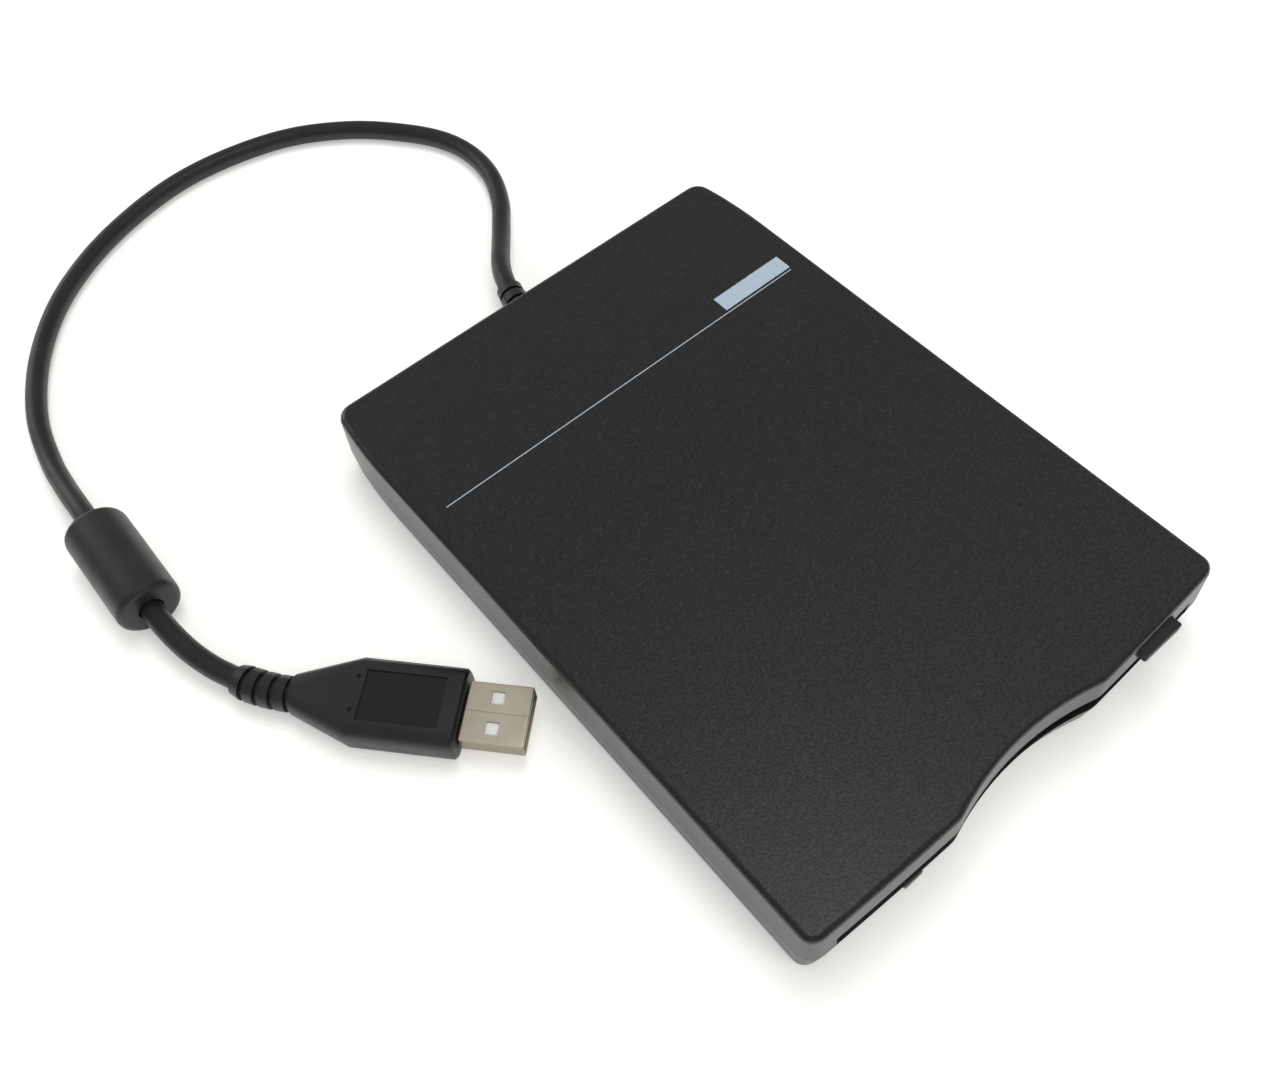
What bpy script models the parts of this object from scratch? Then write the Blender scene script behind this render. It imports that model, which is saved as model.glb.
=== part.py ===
# External floppy disk drive for 90 mm disks: a two-part moulded case round a slim
# drive mechanism, with a captive cord that carries a ferrite sleeve and a type A plug.
# Metres, +Z up. The slot faces -Y, the drive stands on its feet at z = 0.
import math

import bmesh
import bpy
from mathutils import Euler, Matrix, Vector

mm = 0.001

# The disk that the drive takes, and the room that it has
disk_width = 90.0 * mm
disk_length = 94.0 * mm
disk_thick = 3.3 * mm
disk_play = 0.9 * mm
disk_side_gap = 0.3 * mm
hub_from_lead = 46.5 * mm
disk_rest_gap = 0.8 * mm

# Gaps between pieces
gap = 0.3 * mm
seat_gap = 0.1 * mm
running_gap = 0.1 * mm
overrun = 1.0 * mm

# Sheet metal, boards and walls
wall = 1.8 * mm
floor_thick = 1.6 * mm
roof_thick = 1.8 * mm
chassis_sheet = 0.8 * mm
carrier_sheet = 0.6 * mm
slide_sheet = 0.6 * mm
board_thick = 0.6 * mm

# Travels
eject_travel = 4.5 * mm
carrier_drop = 2.0 * mm
head_travel = 15.0 * mm

# Heights, stacked up from the table
foot_proud = 0.9 * mm
board_room = 0.3 * mm
chassis_room = 0.2 * mm
lip_room = 0.25 * mm
lever_room = 1.3 * mm
head_room = 2.15 * mm

floor_top = foot_proud + floor_thick
board_bottom = floor_top + board_room
board_top = board_bottom + board_thick
chassis_bottom = board_top + chassis_room
chassis_top = chassis_bottom + chassis_sheet
lip_bottom_low = chassis_top + lip_room
lip_top_low = lip_bottom_low + carrier_sheet
bay_floor = lip_top_low + carrier_drop
bay_roof = bay_floor + disk_thick + disk_play
carrier_top = bay_roof + carrier_sheet
slide_bottom = carrier_top + lever_room
slide_top = slide_bottom + slide_sheet
roof_under = slide_top + head_room
case_top = roof_under + roof_thick

# Slot and parting line
slot_margin = 0.25 * mm
parting_rise = 0.9 * mm
slot_side_margin = 1.0 * mm
slot_bottom = bay_floor - slot_margin
slot_top = bay_roof
slot_half = disk_width / 2 + slot_side_margin
parting_z = slot_bottom + parting_rise

# Widths, stacked outwards from the disk
slide_gap = 0.5 * mm
chassis_gap = 0.4 * mm
pin_proud = 0.5 * mm
case_side_gap = 1.2 * mm
draft_side = 0.3 * mm
draft_front = 0.7 * mm
draft_rear = 0.3 * mm
draft_front_low = 0.85 * mm

carrier_in_x = disk_width / 2 + disk_side_gap
carrier_out_x = carrier_in_x + carrier_sheet
slide_in_x = carrier_out_x + slide_gap
slide_out_x = slide_in_x + slide_sheet
chassis_in_x = slide_out_x + chassis_gap
chassis_out_x = chassis_in_x + chassis_sheet
pin_end_x = chassis_out_x + pin_proud
half_width = pin_end_x + case_side_gap + wall + draft_side

# Outline of the case in plan
scoop_half = 18.5 * mm
scoop_depth = 2.87 * mm
scoop_radius = (scoop_half ** 2 + scoop_depth ** 2) / (2 * scoop_depth)
scoop_set_back = 1.7 * mm
scoop_corner = 1.0 * mm
bow_depth = 1.33 * mm
front_corner_radius = 3.5 * mm
rear_corner_radius = 4.0 * mm
rear_taper_length = 20.0 * mm
rear_taper_radius = 110.0 * mm
top_edge_radius = 1.2 * mm
bottom_edge_radius = 0.8 * mm

# Slot door
door_thick = 0.8 * mm
door_barrel_radius = 0.5 * mm
door_pin_radius = 0.35 * mm
door_pin_length = 0.9 * mm
ear_thick = 1.4 * mm

# Eject button
button_inset = 11.25 * mm
button_x = disk_width / 2 - button_inset
button_width = 9.5 * mm
button_reach = 2.1 * mm
button_wall = 0.6 * mm
button_depth = 9.5 * mm
button_edge = 0.4 * mm
tongue_play = 0.2 * mm

# Lengths, stacked back from the line through the front corners
boss_radius = 3.0 * mm
upper_boss_radius = 1.9 * mm
boss_behind_door = 2.1 * mm
rear_bay = 28.0 * mm
board_bay = 11.9 * mm

door_from_corner = scoop_set_back + wall + draft_front / 2 + gap + door_barrel_radius
corner_to_rear = door_from_corner + disk_rest_gap + disk_length + rear_bay + board_bay + wall
corner_y = (button_reach - corner_to_rear) / 2
door_y = corner_y + door_from_corner
disk_front_y = door_y + disk_rest_gap
disk_rear_y = disk_front_y + disk_length
spindle_y = disk_rear_y - hub_from_lead
boss_front_y = door_y + boss_behind_door
chassis_front_y = boss_front_y + boss_radius + gap
chassis_rear_y = disk_rear_y + rear_bay
rear_inner_y = chassis_rear_y + board_bay
rear_y = rear_inner_y + wall
slide_front_y = boss_front_y + upper_boss_radius + eject_travel + 2 * gap
slide_behind = 20.0 * mm
slide_rear_y = disk_rear_y - slide_behind
door_z = slot_top + gap
button_bottom = door_z + door_barrel_radius + gap
button_top = roof_under - gap - seat_gap

# Screws
screw_head_radius = 1.75 * mm
screw_head_height = 0.7 * mm
screw_shank_radius = 0.9 * mm
screw_slot_reach = 1.0 * mm
screw_slot_half = 0.2 * mm
case_screw_sink = 0.5 * mm
case_screw_reach = 9.5 * mm
boss_stand = 3.0 * mm
boss_wall_gap = upper_boss_radius + gap
boss_rear_inset = 7.5 * mm
boss_rear_setback = 4.5 * mm

# Feet
foot_radius = 4.0 * mm
foot_sink = 0.5 * mm
foot_inset_x = 10.0 * mm
foot_inset_front = 12.0 * mm
foot_inset_rear = 14.0 * mm

# Parting line tongue
lip_height = 1.0 * mm

round_sides = 32
small_sides = 20


def clear_scene():
    for obj in list(bpy.data.objects):
        bpy.data.objects.remove(obj)


clear_scene()
parts = bpy.data.collections.new("external_floppy_drive")
cutters = bpy.data.collections.new("cutters")
bpy.context.scene.collection.children.link(parts)
bpy.context.scene.collection.children.link(cutters)


def material(name, colour, roughness, metallic=0.0):
    found = bpy.data.materials.get(name)
    if found:
        return found
    made = bpy.data.materials.new(name)
    made.use_nodes = True
    made.diffuse_color = (*colour, 1.0)
    shader = made.node_tree.nodes["Principled BSDF"]
    shader.inputs["Base Color"].default_value = (*colour, 1.0)
    shader.inputs["Roughness"].default_value = roughness
    shader.inputs["Metallic"].default_value = metallic
    return made


def case_plastic():
    return material("case_plastic", (0.032, 0.032, 0.032), 0.55)


def button_plastic():
    return material("button_plastic", (0.025, 0.025, 0.026), 0.6)


def foot_rubber():
    return material("foot_rubber", (0.02, 0.02, 0.02), 0.85)


def cord_sheath():
    return material("cord_sheath", (0.014, 0.014, 0.014), 0.4)


def zinc_sheet():
    return material("zinc_sheet", (0.62, 0.63, 0.64), 0.32, 1.0)


def turned_steel():
    return material("turned_steel", (0.55, 0.55, 0.56), 0.25, 1.0)


def nickel_sheet():
    return material("nickel_sheet", (0.68, 0.66, 0.60), 0.24, 1.0)


def gilt_contact():
    return material("gilt_contact", (0.83, 0.62, 0.25), 0.25, 1.0)


def white_nylon():
    return material("white_nylon", (0.75, 0.74, 0.70), 0.45)


def board_laminate():
    return material("board_laminate", (0.03, 0.13, 0.06), 0.4)


def chip_resin():
    return material("chip_resin", (0.02, 0.02, 0.022), 0.5)


def copper_coil():
    return material("copper_coil", (0.60, 0.25, 0.12), 0.35, 1.0)


def head_ceramic():
    return material("head_ceramic", (0.70, 0.68, 0.62), 0.3)


def lamp_resin():
    return material("lamp_resin", (0.03, 0.05, 0.03), 0.15)


def carriage_resin():
    return material("carriage_resin", (0.05, 0.05, 0.055), 0.45)


def place(mesh, name, group):
    obj = bpy.data.objects.new(name, mesh)
    group.objects.link(obj)
    if group is cutters:
        obj.hide_render = True
        obj.display_type = "WIRE"
    return obj


def finish(obj, look, sharp=math.radians(35)):
    obj.data.materials.clear()
    obj.data.materials.append(look)
    obj.data.shade_smooth()
    obj.data.set_sharp_from_angle(angle=sharp)
    return obj


def mesh_of(shape, name):
    mesh = bpy.data.meshes.new(name)
    shape.to_mesh(mesh)
    shape.free()
    return mesh


def add_box(shape, low, high):
    low = Vector(low)
    high = Vector(high)
    size = high - low
    matrix = Matrix.Translation((low + high) / 2) @ Matrix.Diagonal((*size, 1.0))
    bmesh.ops.create_cube(shape, size=1.0, matrix=matrix)


def boxes(name, corners, group=parts):
    shape = bmesh.new()
    for low, high in corners:
        add_box(shape, low, high)
    return place(mesh_of(shape, name), name, group)


def add_rod(shape, radius, start, end, sides):
    start = Vector(start)
    end = Vector(end)
    run = end - start
    turn = run.to_track_quat("Z", "Y").to_matrix().to_4x4()
    matrix = Matrix.Translation((start + end) / 2) @ turn
    bmesh.ops.create_cone(
        shape, cap_ends=True, segments=sides, radius1=radius, radius2=radius,
        depth=run.length, matrix=matrix)


def rods(name, ends, radius, group=parts, sides=round_sides):
    shape = bmesh.new()
    for start, end in ends:
        add_rod(shape, radius, start, end, sides)
    return place(mesh_of(shape, name), name, group)


def turned(name, profile, closed=False, group=parts, sides=round_sides):
    # The profile holds radius and height pairs, down the outer side from the top
    mesh = bpy.data.meshes.new(name)
    points = [(radius, 0.0, height) for radius, height in profile]
    edges = [(i, i + 1) for i in range(len(points) - 1)]
    if closed:
        edges.append((len(points) - 1, 0))
    mesh.from_pydata(points, edges, [])
    obj = place(mesh, name, group)
    spin = obj.modifiers.new("turn", "SCREW")
    spin.steps = sides
    spin.render_steps = sides
    spin.use_merge_vertices = True
    spin.merge_threshold = 0.000001
    return obj


def aim(obj, origin, axis):
    # The turned piece's own +Z points along axis
    obj.location = origin
    obj.rotation_euler = Vector(axis).to_track_quat("Z", "Y").to_euler()
    return obj


def frozen(obj, name, group):
    # The evaluated shape as a plain mesh, in place of the object
    bpy.context.view_layer.update()
    graph = bpy.context.evaluated_depsgraph_get()
    mesh = bpy.data.meshes.new_from_object(obj.evaluated_get(graph))
    shape = bmesh.new()
    shape.from_mesh(mesh)
    shape.transform(obj.matrix_world)
    bmesh.ops.remove_doubles(shape, verts=shape.verts, dist=0.000001)
    bmesh.ops.recalc_face_normals(shape, faces=shape.faces)
    shape.to_mesh(mesh)
    shape.free()
    bpy.data.objects.remove(obj)
    made = place(mesh, name, group)
    made.name = name
    return made


def plate(name, outline, bottom, top, group=parts):
    # A flat outline in plan, filled and given its thickness
    flat = bpy.data.curves.new(name + "_outline", "CURVE")
    flat.dimensions = "2D"
    flat.fill_mode = "BOTH"
    flat.extrude = (top - bottom) / 2
    line = flat.splines.new("POLY")
    line.points.add(len(outline) - 1)
    for point, (x, y) in zip(line.points, outline):
        point.co = (x, y, 0.0, 1.0)
    line.use_cyclic_u = True
    obj = bpy.data.objects.new(name + "_outline", flat)
    group.objects.link(obj)
    obj.location = (0.0, 0.0, (top + bottom) / 2)
    return frozen(obj, name, group)


def sheet(name, line, sweep, thickness, group=parts):
    # A folded sheet: an open strip along sweep, given its thickness about its middle
    shape = bmesh.new()
    near = [shape.verts.new(point) for point in line]
    far = [shape.verts.new(Vector(point) + Vector(sweep)) for point in line]
    for i in range(len(line) - 1):
        shape.faces.new((near[i], near[i + 1], far[i + 1], far[i]))
    obj = place(mesh_of(shape, name), name, group)
    solid = obj.modifiers.new("thickness", "SOLIDIFY")
    solid.thickness = thickness
    solid.offset = 0.0
    solid.use_even_offset = True
    return frozen(obj, name, group)


def loft(name, rings, group=parts):
    shape = bmesh.new()
    rows = [[shape.verts.new(point) for point in ring] for ring in rings]
    count = len(rows[0])
    for low, high in zip(rows, rows[1:]):
        for i in range(count):
            j = (i + 1) % count
            shape.faces.new((low[i], low[j], high[j], high[i]))
    shape.faces.new(list(reversed(rows[0])))
    shape.faces.new(rows[-1])
    bmesh.ops.recalc_face_normals(shape, faces=shape.faces)
    return place(mesh_of(shape, name), name, group)


def apply_tool(obj, tool, operation):
    if tool.name not in cutters.objects:
        parts.objects.unlink(tool)
        cutters.objects.link(tool)
        tool.hide_render = True
        tool.display_type = "WIRE"
    step = obj.modifiers.new(tool.name, "BOOLEAN")
    step.operation = operation
    step.solver = "EXACT"
    step.object = tool
    return obj


def cut(obj, tool):
    return apply_tool(obj, tool, "DIFFERENCE")


def join(obj, tool):
    return apply_tool(obj, tool, "UNION")


def bent(piece, start, reach, sweep):
    # Bends a turned piece past start on its own +Z, by sweep over reach, towards its own +X
    radius = reach / sweep
    for vertex in piece.data.vertices:
        along = vertex.co.z - start
        if along > 0.0:
            turn = sweep * min(along / reach, 1.0)
            spare = max(along - reach, 0.0)
            out = radius - vertex.co.x
            vertex.co.x = radius - out * math.cos(turn) + spare * math.sin(turn)
            vertex.co.z = start + out * math.sin(turn) + spare * math.cos(turn)
    return piece


def bend_end(reach, sweep):
    # How far a bend carries its end to the side, and along
    radius = reach / sweep
    return radius * (1 - math.cos(sweep)), radius * math.sin(sweep)


def arc(centre, radius, start, end, steps):
    points = []
    for i in range(steps + 1):
        angle = start + (end - start) * i / steps
        points.append((centre[0] + radius * math.cos(angle), centre[1] + radius * math.sin(angle)))
    return points


# Outline of the case, in plan


def front_half():
    # From the middle of the scoop to the front right corner
    scoop_y = corner_y + scoop_set_back
    sweep = math.asin(scoop_half / scoop_radius)
    bow_half = half_width - front_corner_radius

    def scoop_point(angle):
        return (scoop_radius * math.sin(angle), scoop_y - scoop_radius * (1 - math.cos(angle)))

    def bow_point(x):
        return (x, corner_y - bow_depth * (1 - (x / bow_half) ** 2))

    corner = scoop_point(sweep)
    before = scoop_point(sweep - scoop_corner / scoop_radius)
    after = bow_point(corner[0] + scoop_corner)
    middle = tuple(0.25 * a + 0.5 * b + 0.25 * c for a, b, c in zip(before, corner, after))
    scoop_steps = 7
    points = [scoop_point((sweep - scoop_corner / scoop_radius) * i / scoop_steps)
              for i in range(scoop_steps)]
    points += [before, middle, after]
    bow_steps = 5
    for i in range(1, bow_steps):
        points.append(bow_point(after[0] + (bow_half - after[0]) * i / bow_steps))
    centre = (bow_half, corner_y + front_corner_radius)
    points += arc(centre, front_corner_radius, -math.pi / 2, 0.0, 5)
    return points


def rear_half():
    # From the front right corner to the middle of the rear edge
    sine = (rear_taper_length - rear_corner_radius) / (rear_taper_radius - rear_corner_radius)
    lean = math.asin(sine)
    start_y = rear_y - rear_taper_length
    centre = (half_width - rear_taper_radius, start_y)
    points = arc(centre, rear_taper_radius, 0.0, lean, 5)
    end = points[-1]
    inner = (end[0] - rear_corner_radius * math.cos(lean), end[1] - rear_corner_radius * math.sin(lean))
    points += arc(inner, rear_corner_radius, lean, math.pi / 2, 5)[1:]
    return points


def case_outline():
    right = front_half() + rear_half()
    left = [(-x, y) for x, y in reversed(right[1:])]
    return right + left


case_points = case_outline()


def outline_normals(points):
    normals = []
    count = len(points)
    for i in range(count):
        before = points[i - 1]
        after = points[(i + 1) % count]
        run = Vector((after[0] - before[0], after[1] - before[1])).normalized()
        normals.append((run.y, -run.x))
    return normals


case_normals = outline_normals(case_points)


def case_ring(height, side=0.0, front=0.0, rear=0.0):
    # The outline drawn in by its own amount at the sides, the front and the rear
    ring = []
    for (x, y), (nx, ny) in zip(case_points, case_normals):
        along = front if ny < 0 else rear
        ring.append((x - nx * side, y - ny * along, height))
    return ring


def even_ring(height, inset, side=0.0, front=0.0, rear=0.0):
    return case_ring(height, inset + side, inset + front, inset + rear)


def rounded_rings(height, radius, direction, drafts):
    # A quarter round from a wall into the top or bottom face
    rings = []
    steps = 3
    for i in range(1, steps + 1):
        angle = math.pi / 2 * i / steps
        inset = radius * (1 - math.cos(angle))
        rise = radius * math.sin(angle) * direction
        rings.append(even_ring(height + rise, inset, *drafts))
    return rings


# Places that several pieces share

inner_x = half_width - wall - draft_side
boss_places = [
    (inner_x - boss_wall_gap, boss_front_y),
    (half_width - boss_rear_inset, rear_inner_y - boss_rear_setback),
]
boss_places += [(-x, y) for x, y in boss_places]
boss_meet_z = floor_top + boss_stand
foot_places = [
    (half_width - foot_inset_x, corner_y + foot_inset_front),
    (half_width - foot_inset_x, rear_y - foot_inset_rear),
]
foot_places += [(-x, y) for x, y in foot_places]

seat_inset = 9.0 * mm
seat_x = disk_width / 2 - seat_inset
seat_front = 10.0 * mm
seat_rear = 4.0 * mm
seat_radius = 2.6 * mm
seat_screw_reach = 1.6 * mm
seat_places = [(seat_x, chassis_front_y + seat_front), (seat_x, chassis_rear_y - seat_rear)]
seat_places += [(-x, y) for x, y in seat_places]

# Strain relief in the rear wall
cord_radius = 2.3 * mm
cord_exit_x = 0.0 * mm
relief_collar_radius = 4.4 * mm
relief_collar_thick = 1.3 * mm
relief_neck_radius = 2.9 * mm
relief_length = 11.5 * mm
relief_bend = math.radians(18)
relief_root_radius = 3.4 * mm
relief_tip_radius = 3.0 * mm
relief_groove = 0.7 * mm
relief_rib_count = 4
relief_pitch = relief_length / relief_rib_count
relief_groove_width = relief_pitch / 3
relief_reach = relief_length - relief_groove_width
relief_seat_y = rear_inner_y - draft_rear - seat_gap
relief_front_y = relief_seat_y - relief_collar_thick

# Lamp behind the front lip
lens_inset = 17.25 * mm
lens_x = -(disk_width / 2 - lens_inset)
lens_width = 4.5 * mm
lens_height = 1.8 * mm
lens_proud = 0.35 * mm
lens_length = 4.4 * mm
lamp_height = 2.2 * mm
lamp_size = 2.4 * mm
lamp_board_half = 7.0 * mm
lens_bottom = board_top + seat_gap + lamp_height - lens_height
lens_front_y = corner_y - lens_proud - bow_depth / 2


def top_cover():
    drafts = (draft_side, draft_front, draft_rear)
    edge_z = case_top - top_edge_radius
    rings = [case_ring(parting_z + seat_gap / 2), even_ring(edge_z, 0.0, *drafts)]
    rings += rounded_rings(edge_z, top_edge_radius, 1, drafts)
    cover = loft("top_cover", rings)
    cavity = [even_ring(parting_z - overrun, wall), even_ring(roof_under, wall, *drafts)]
    cut(cover, loft("top_cavity", cavity, cutters))
    rebate_z = parting_z + lip_height + seat_gap
    rebate = [even_ring(parting_z - overrun, wall / 2 - seat_gap), even_ring(rebate_z, wall / 2 - seat_gap)]
    cut(cover, loft("top_rebate", rebate, cutters))
    posts = [((x, y, boss_meet_z + seat_gap), (x, y, roof_under + roof_thick / 2)) for x, y in boss_places]
    join(cover, rods("top_posts", posts, upper_boss_radius, cutters, small_sides))
    ear_in = slot_half
    ear_out = slot_half + ear_thick
    ear_low = door_z - door_barrel_radius - gap
    ear_front = door_y - 2 * door_barrel_radius
    ear_rear = door_y + 2 * door_barrel_radius
    ears = [((ear_in, ear_front, ear_low), (ear_out, ear_rear, roof_under + roof_thick / 2)),
            ((-ear_out, ear_front, ear_low), (-ear_in, ear_rear, roof_under + roof_thick / 2))]
    join(cover, boxes("top_ears", ears, cutters))
    front = corner_y - bow_depth - overrun
    slot = [((-slot_half, front, parting_z - overrun), (slot_half, door_y - door_barrel_radius, slot_top))]
    cut(cover, boxes("top_slot", slot, cutters))
    half = button_width / 2 + gap
    notch = [((button_x - half, front, button_bottom - gap), (button_x + half, door_y, button_top + gap))]
    cut(cover, boxes("top_notch", notch, cutters))
    pilots = [((x, y, boss_meet_z), (x, y, foot_proud + case_screw_sink + screw_head_height
                                     + case_screw_reach + gap)) for x, y in boss_places]
    cut(cover, rods("top_pilots", pilots, screw_shank_radius + running_gap, cutters, small_sides))
    bore_end = slot_half + door_pin_length + gap
    bores = [((-bore_end, door_y, door_z), (bore_end, door_y, door_z))]
    cut(cover, rods("top_door_bores", bores, door_pin_radius + running_gap, cutters, small_sides))
    hole = [((cord_exit_x, rear_inner_y - wall, parting_z), (cord_exit_x, rear_y + overrun, parting_z))]
    cut(cover, rods("top_cord_hole", hole, relief_neck_radius + gap, cutters))
    return finish(cover, case_plastic())


def bottom_cover():
    drafts = (draft_side, draft_front_low, draft_rear)
    edge_z = foot_proud + bottom_edge_radius
    lip_z = parting_z + lip_height
    rings = list(reversed(rounded_rings(edge_z, bottom_edge_radius, -1, drafts)))
    rings += [even_ring(edge_z, 0.0, *drafts), case_ring(parting_z - seat_gap / 2)]
    rings += [even_ring(parting_z - seat_gap / 2, wall / 2), even_ring(lip_z, wall / 2)]
    cover = loft("bottom_cover", rings)
    cavity = [even_ring(floor_top, wall, *drafts), even_ring(lip_z + overrun, wall)]
    cut(cover, loft("bottom_cavity", cavity, cutters))
    posts = [((x, y, floor_top - floor_thick / 2), (x, y, boss_meet_z)) for x, y in boss_places]
    join(cover, rods("bottom_posts", posts, boss_radius, cutters, small_sides))
    seats = [((x, y, floor_top - floor_thick / 2), (x, y, chassis_bottom - seat_gap))
             for x, y in seat_places]
    join(cover, rods("bottom_seats", seats, seat_radius, cutters, small_sides))
    rib_y = (usb_board_front + usb_board_rear) / 2
    ribs = [((x - wall / 2, rib_y - usb_rib_half, floor_top - floor_thick / 2),
             (x + wall / 2, rib_y + usb_rib_half, usb_board_bottom - seat_gap))
            for x in (-usb_rib_x, usb_rib_x)]
    join(cover, boxes("bottom_board_ribs", ribs, cutters))
    front = corner_y - bow_depth - overrun
    slot = [((-slot_half, front, slot_bottom), (slot_half, door_y, lip_z + overrun))]
    cut(cover, boxes("bottom_slot", slot, cutters))
    lens = [((lens_x - lens_width / 2 - gap, front, lens_bottom - gap),
             (lens_x + lens_width / 2 + gap, door_y, lens_bottom + lens_height + gap))]
    cut(cover, boxes("bottom_lens_hole", lens, cutters))
    holes = [((x, y, 0.0), (x, y, boss_meet_z + overrun)) for x, y in boss_places]
    cut(cover, rods("bottom_screw_holes", holes, screw_shank_radius + gap, cutters, small_sides))
    sinks = [((x, y, 0.0), (x, y, foot_proud + case_screw_sink + screw_head_height + seat_gap))
             for x, y in boss_places]
    cut(cover, rods("bottom_screw_sinks", sinks, screw_head_radius + gap, cutters, small_sides))
    pilots = [((x, y, chassis_bottom - seat_screw_reach), (x, y, chassis_top)) for x, y in seat_places]
    cut(cover, rods("bottom_seat_pilots", pilots, screw_shank_radius + running_gap, cutters, small_sides))
    pads = [((x, y, 0.0), (x, y, foot_proud + foot_sink)) for x, y in foot_places]
    cut(cover, rods("bottom_foot_recesses", pads, foot_radius + gap, cutters))
    hole = [((cord_exit_x, rear_inner_y - wall, parting_z), (cord_exit_x, rear_y + overrun, parting_z))]
    cut(cover, rods("bottom_cord_hole", hole, relief_neck_radius + gap, cutters))
    return finish(cover, case_plastic())


def feet():
    top = foot_proud + foot_sink - seat_gap
    edge = foot_sink
    for i, (x, y) in enumerate(foot_places):
        profile = [(0.0, top), (foot_radius, top), (foot_radius, edge), (foot_radius - edge, 0.0),
                   (0.0, 0.0)]
        foot = turned(f"foot_{i + 1}", profile)
        foot.location = (x, y, 0.0)
        finish(foot, foot_rubber())


def screw(name, head_z, reach, direction, x, y):
    # Head seat at head_z, shank along direction, a cross recess in the head
    head = screw_head_height
    round_in = head / 3
    profile = [
        (0.0, head), (screw_head_radius - round_in, head), (screw_head_radius, head - round_in),
        (screw_head_radius, 0.0), (screw_shank_radius, 0.0),
        (screw_shank_radius, -reach + screw_shank_radius), (0.0, -reach)]
    piece = turned(name, profile, sides=small_sides)
    aim(piece, (x, y, head_z), (0.0, 0.0, -direction))
    face = head_z - direction * head
    low, high = sorted((face - direction * overrun, face + direction * head / 2))
    for i, (a, b) in enumerate(((screw_slot_reach, screw_slot_half), (screw_slot_half, screw_slot_reach))):
        bar = [((x - a, y - b, low), (x + a, y + b, high))]
        cut(piece, boxes(f"{name}_recess_{i + 1}", bar, cutters))
    return finish(piece, turned_steel())


def case_screws():
    head_z = foot_proud + case_screw_sink + screw_head_height
    for i, (x, y) in enumerate(boss_places):
        screw(f"case_screw_{i + 1}", head_z, case_screw_reach, 1, x, y)


def chassis_screws():
    head_z = chassis_top + seat_gap
    reach = chassis_sheet + seat_gap + seat_screw_reach - seat_gap
    for i, (x, y) in enumerate(seat_places):
        screw(f"chassis_screw_{i + 1}", head_z, reach, -1, x, y)


# Rear board, in the room behind the drive mechanism
usb_board_thick = 0.8 * mm
usb_board_inset = 8.0 * mm
usb_board_half = disk_width / 2 - usb_board_inset
usb_board_rise = 2.5 * mm
usb_rib_inset = 17.0 * mm
usb_rib_x = usb_board_half - usb_rib_inset
usb_rib_half = 3.0 * mm
usb_board_front = chassis_rear_y + 5 * gap
usb_board_rear = relief_front_y - gap
usb_board_bottom = floor_top + usb_board_rise
usb_board_top = usb_board_bottom + usb_board_thick

# Carrier pins and the slots that guide them
pin_radius = 0.9 * mm
pin_slot_gap = 0.15 * mm
pin_margin = 5.0 * mm
flange_margin = 0.9 * mm
pin_z = (bay_floor + bay_roof) / 2 + pin_radius
pin_places = [slide_front_y + pin_margin, slide_rear_y - eject_travel - pin_margin]
carrier_lip = 3.3 * mm
carrier_front_y = chassis_front_y + gap

# Head window in the carrier roof and the slide plate
arm_half = 5.0 * mm
window_half = 9.0 * mm
window_reach = 31.5 * mm
carrier_clear = 2.0 * mm

# Shutter lever, carried on the left wing of the carrier
lever_inset = 3.5 * mm
lever_x = -(disk_width / 2 - lever_inset)
lever_arm = disk_width / 4
lever_rest = math.radians(-65)
lever_sweep = math.radians(50)
lever_thick = 0.6 * mm
lever_half = 2.0 * mm
lever_pin_radius = 1.2 * mm
lever_pin_reach = 3.7 * mm
lever_boss_radius = 3.4 * mm
stud_radius = 1.2 * mm
lever_y = disk_rear_y + lever_pin_radius - lever_arm * math.sin(lever_rest + lever_sweep)
lever_bottom = carrier_top + gap
lever_top = lever_bottom + lever_thick
lever_path_half = lever_pin_radius + 2 * gap
wing_margin = 1.0 * mm
wing_edge = -lever_x - lever_arm * math.cos(lever_rest + lever_sweep) - lever_path_half - wing_margin
wing_reach = lever_y - disk_rear_y + lever_boss_radius + 2 * gap


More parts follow.
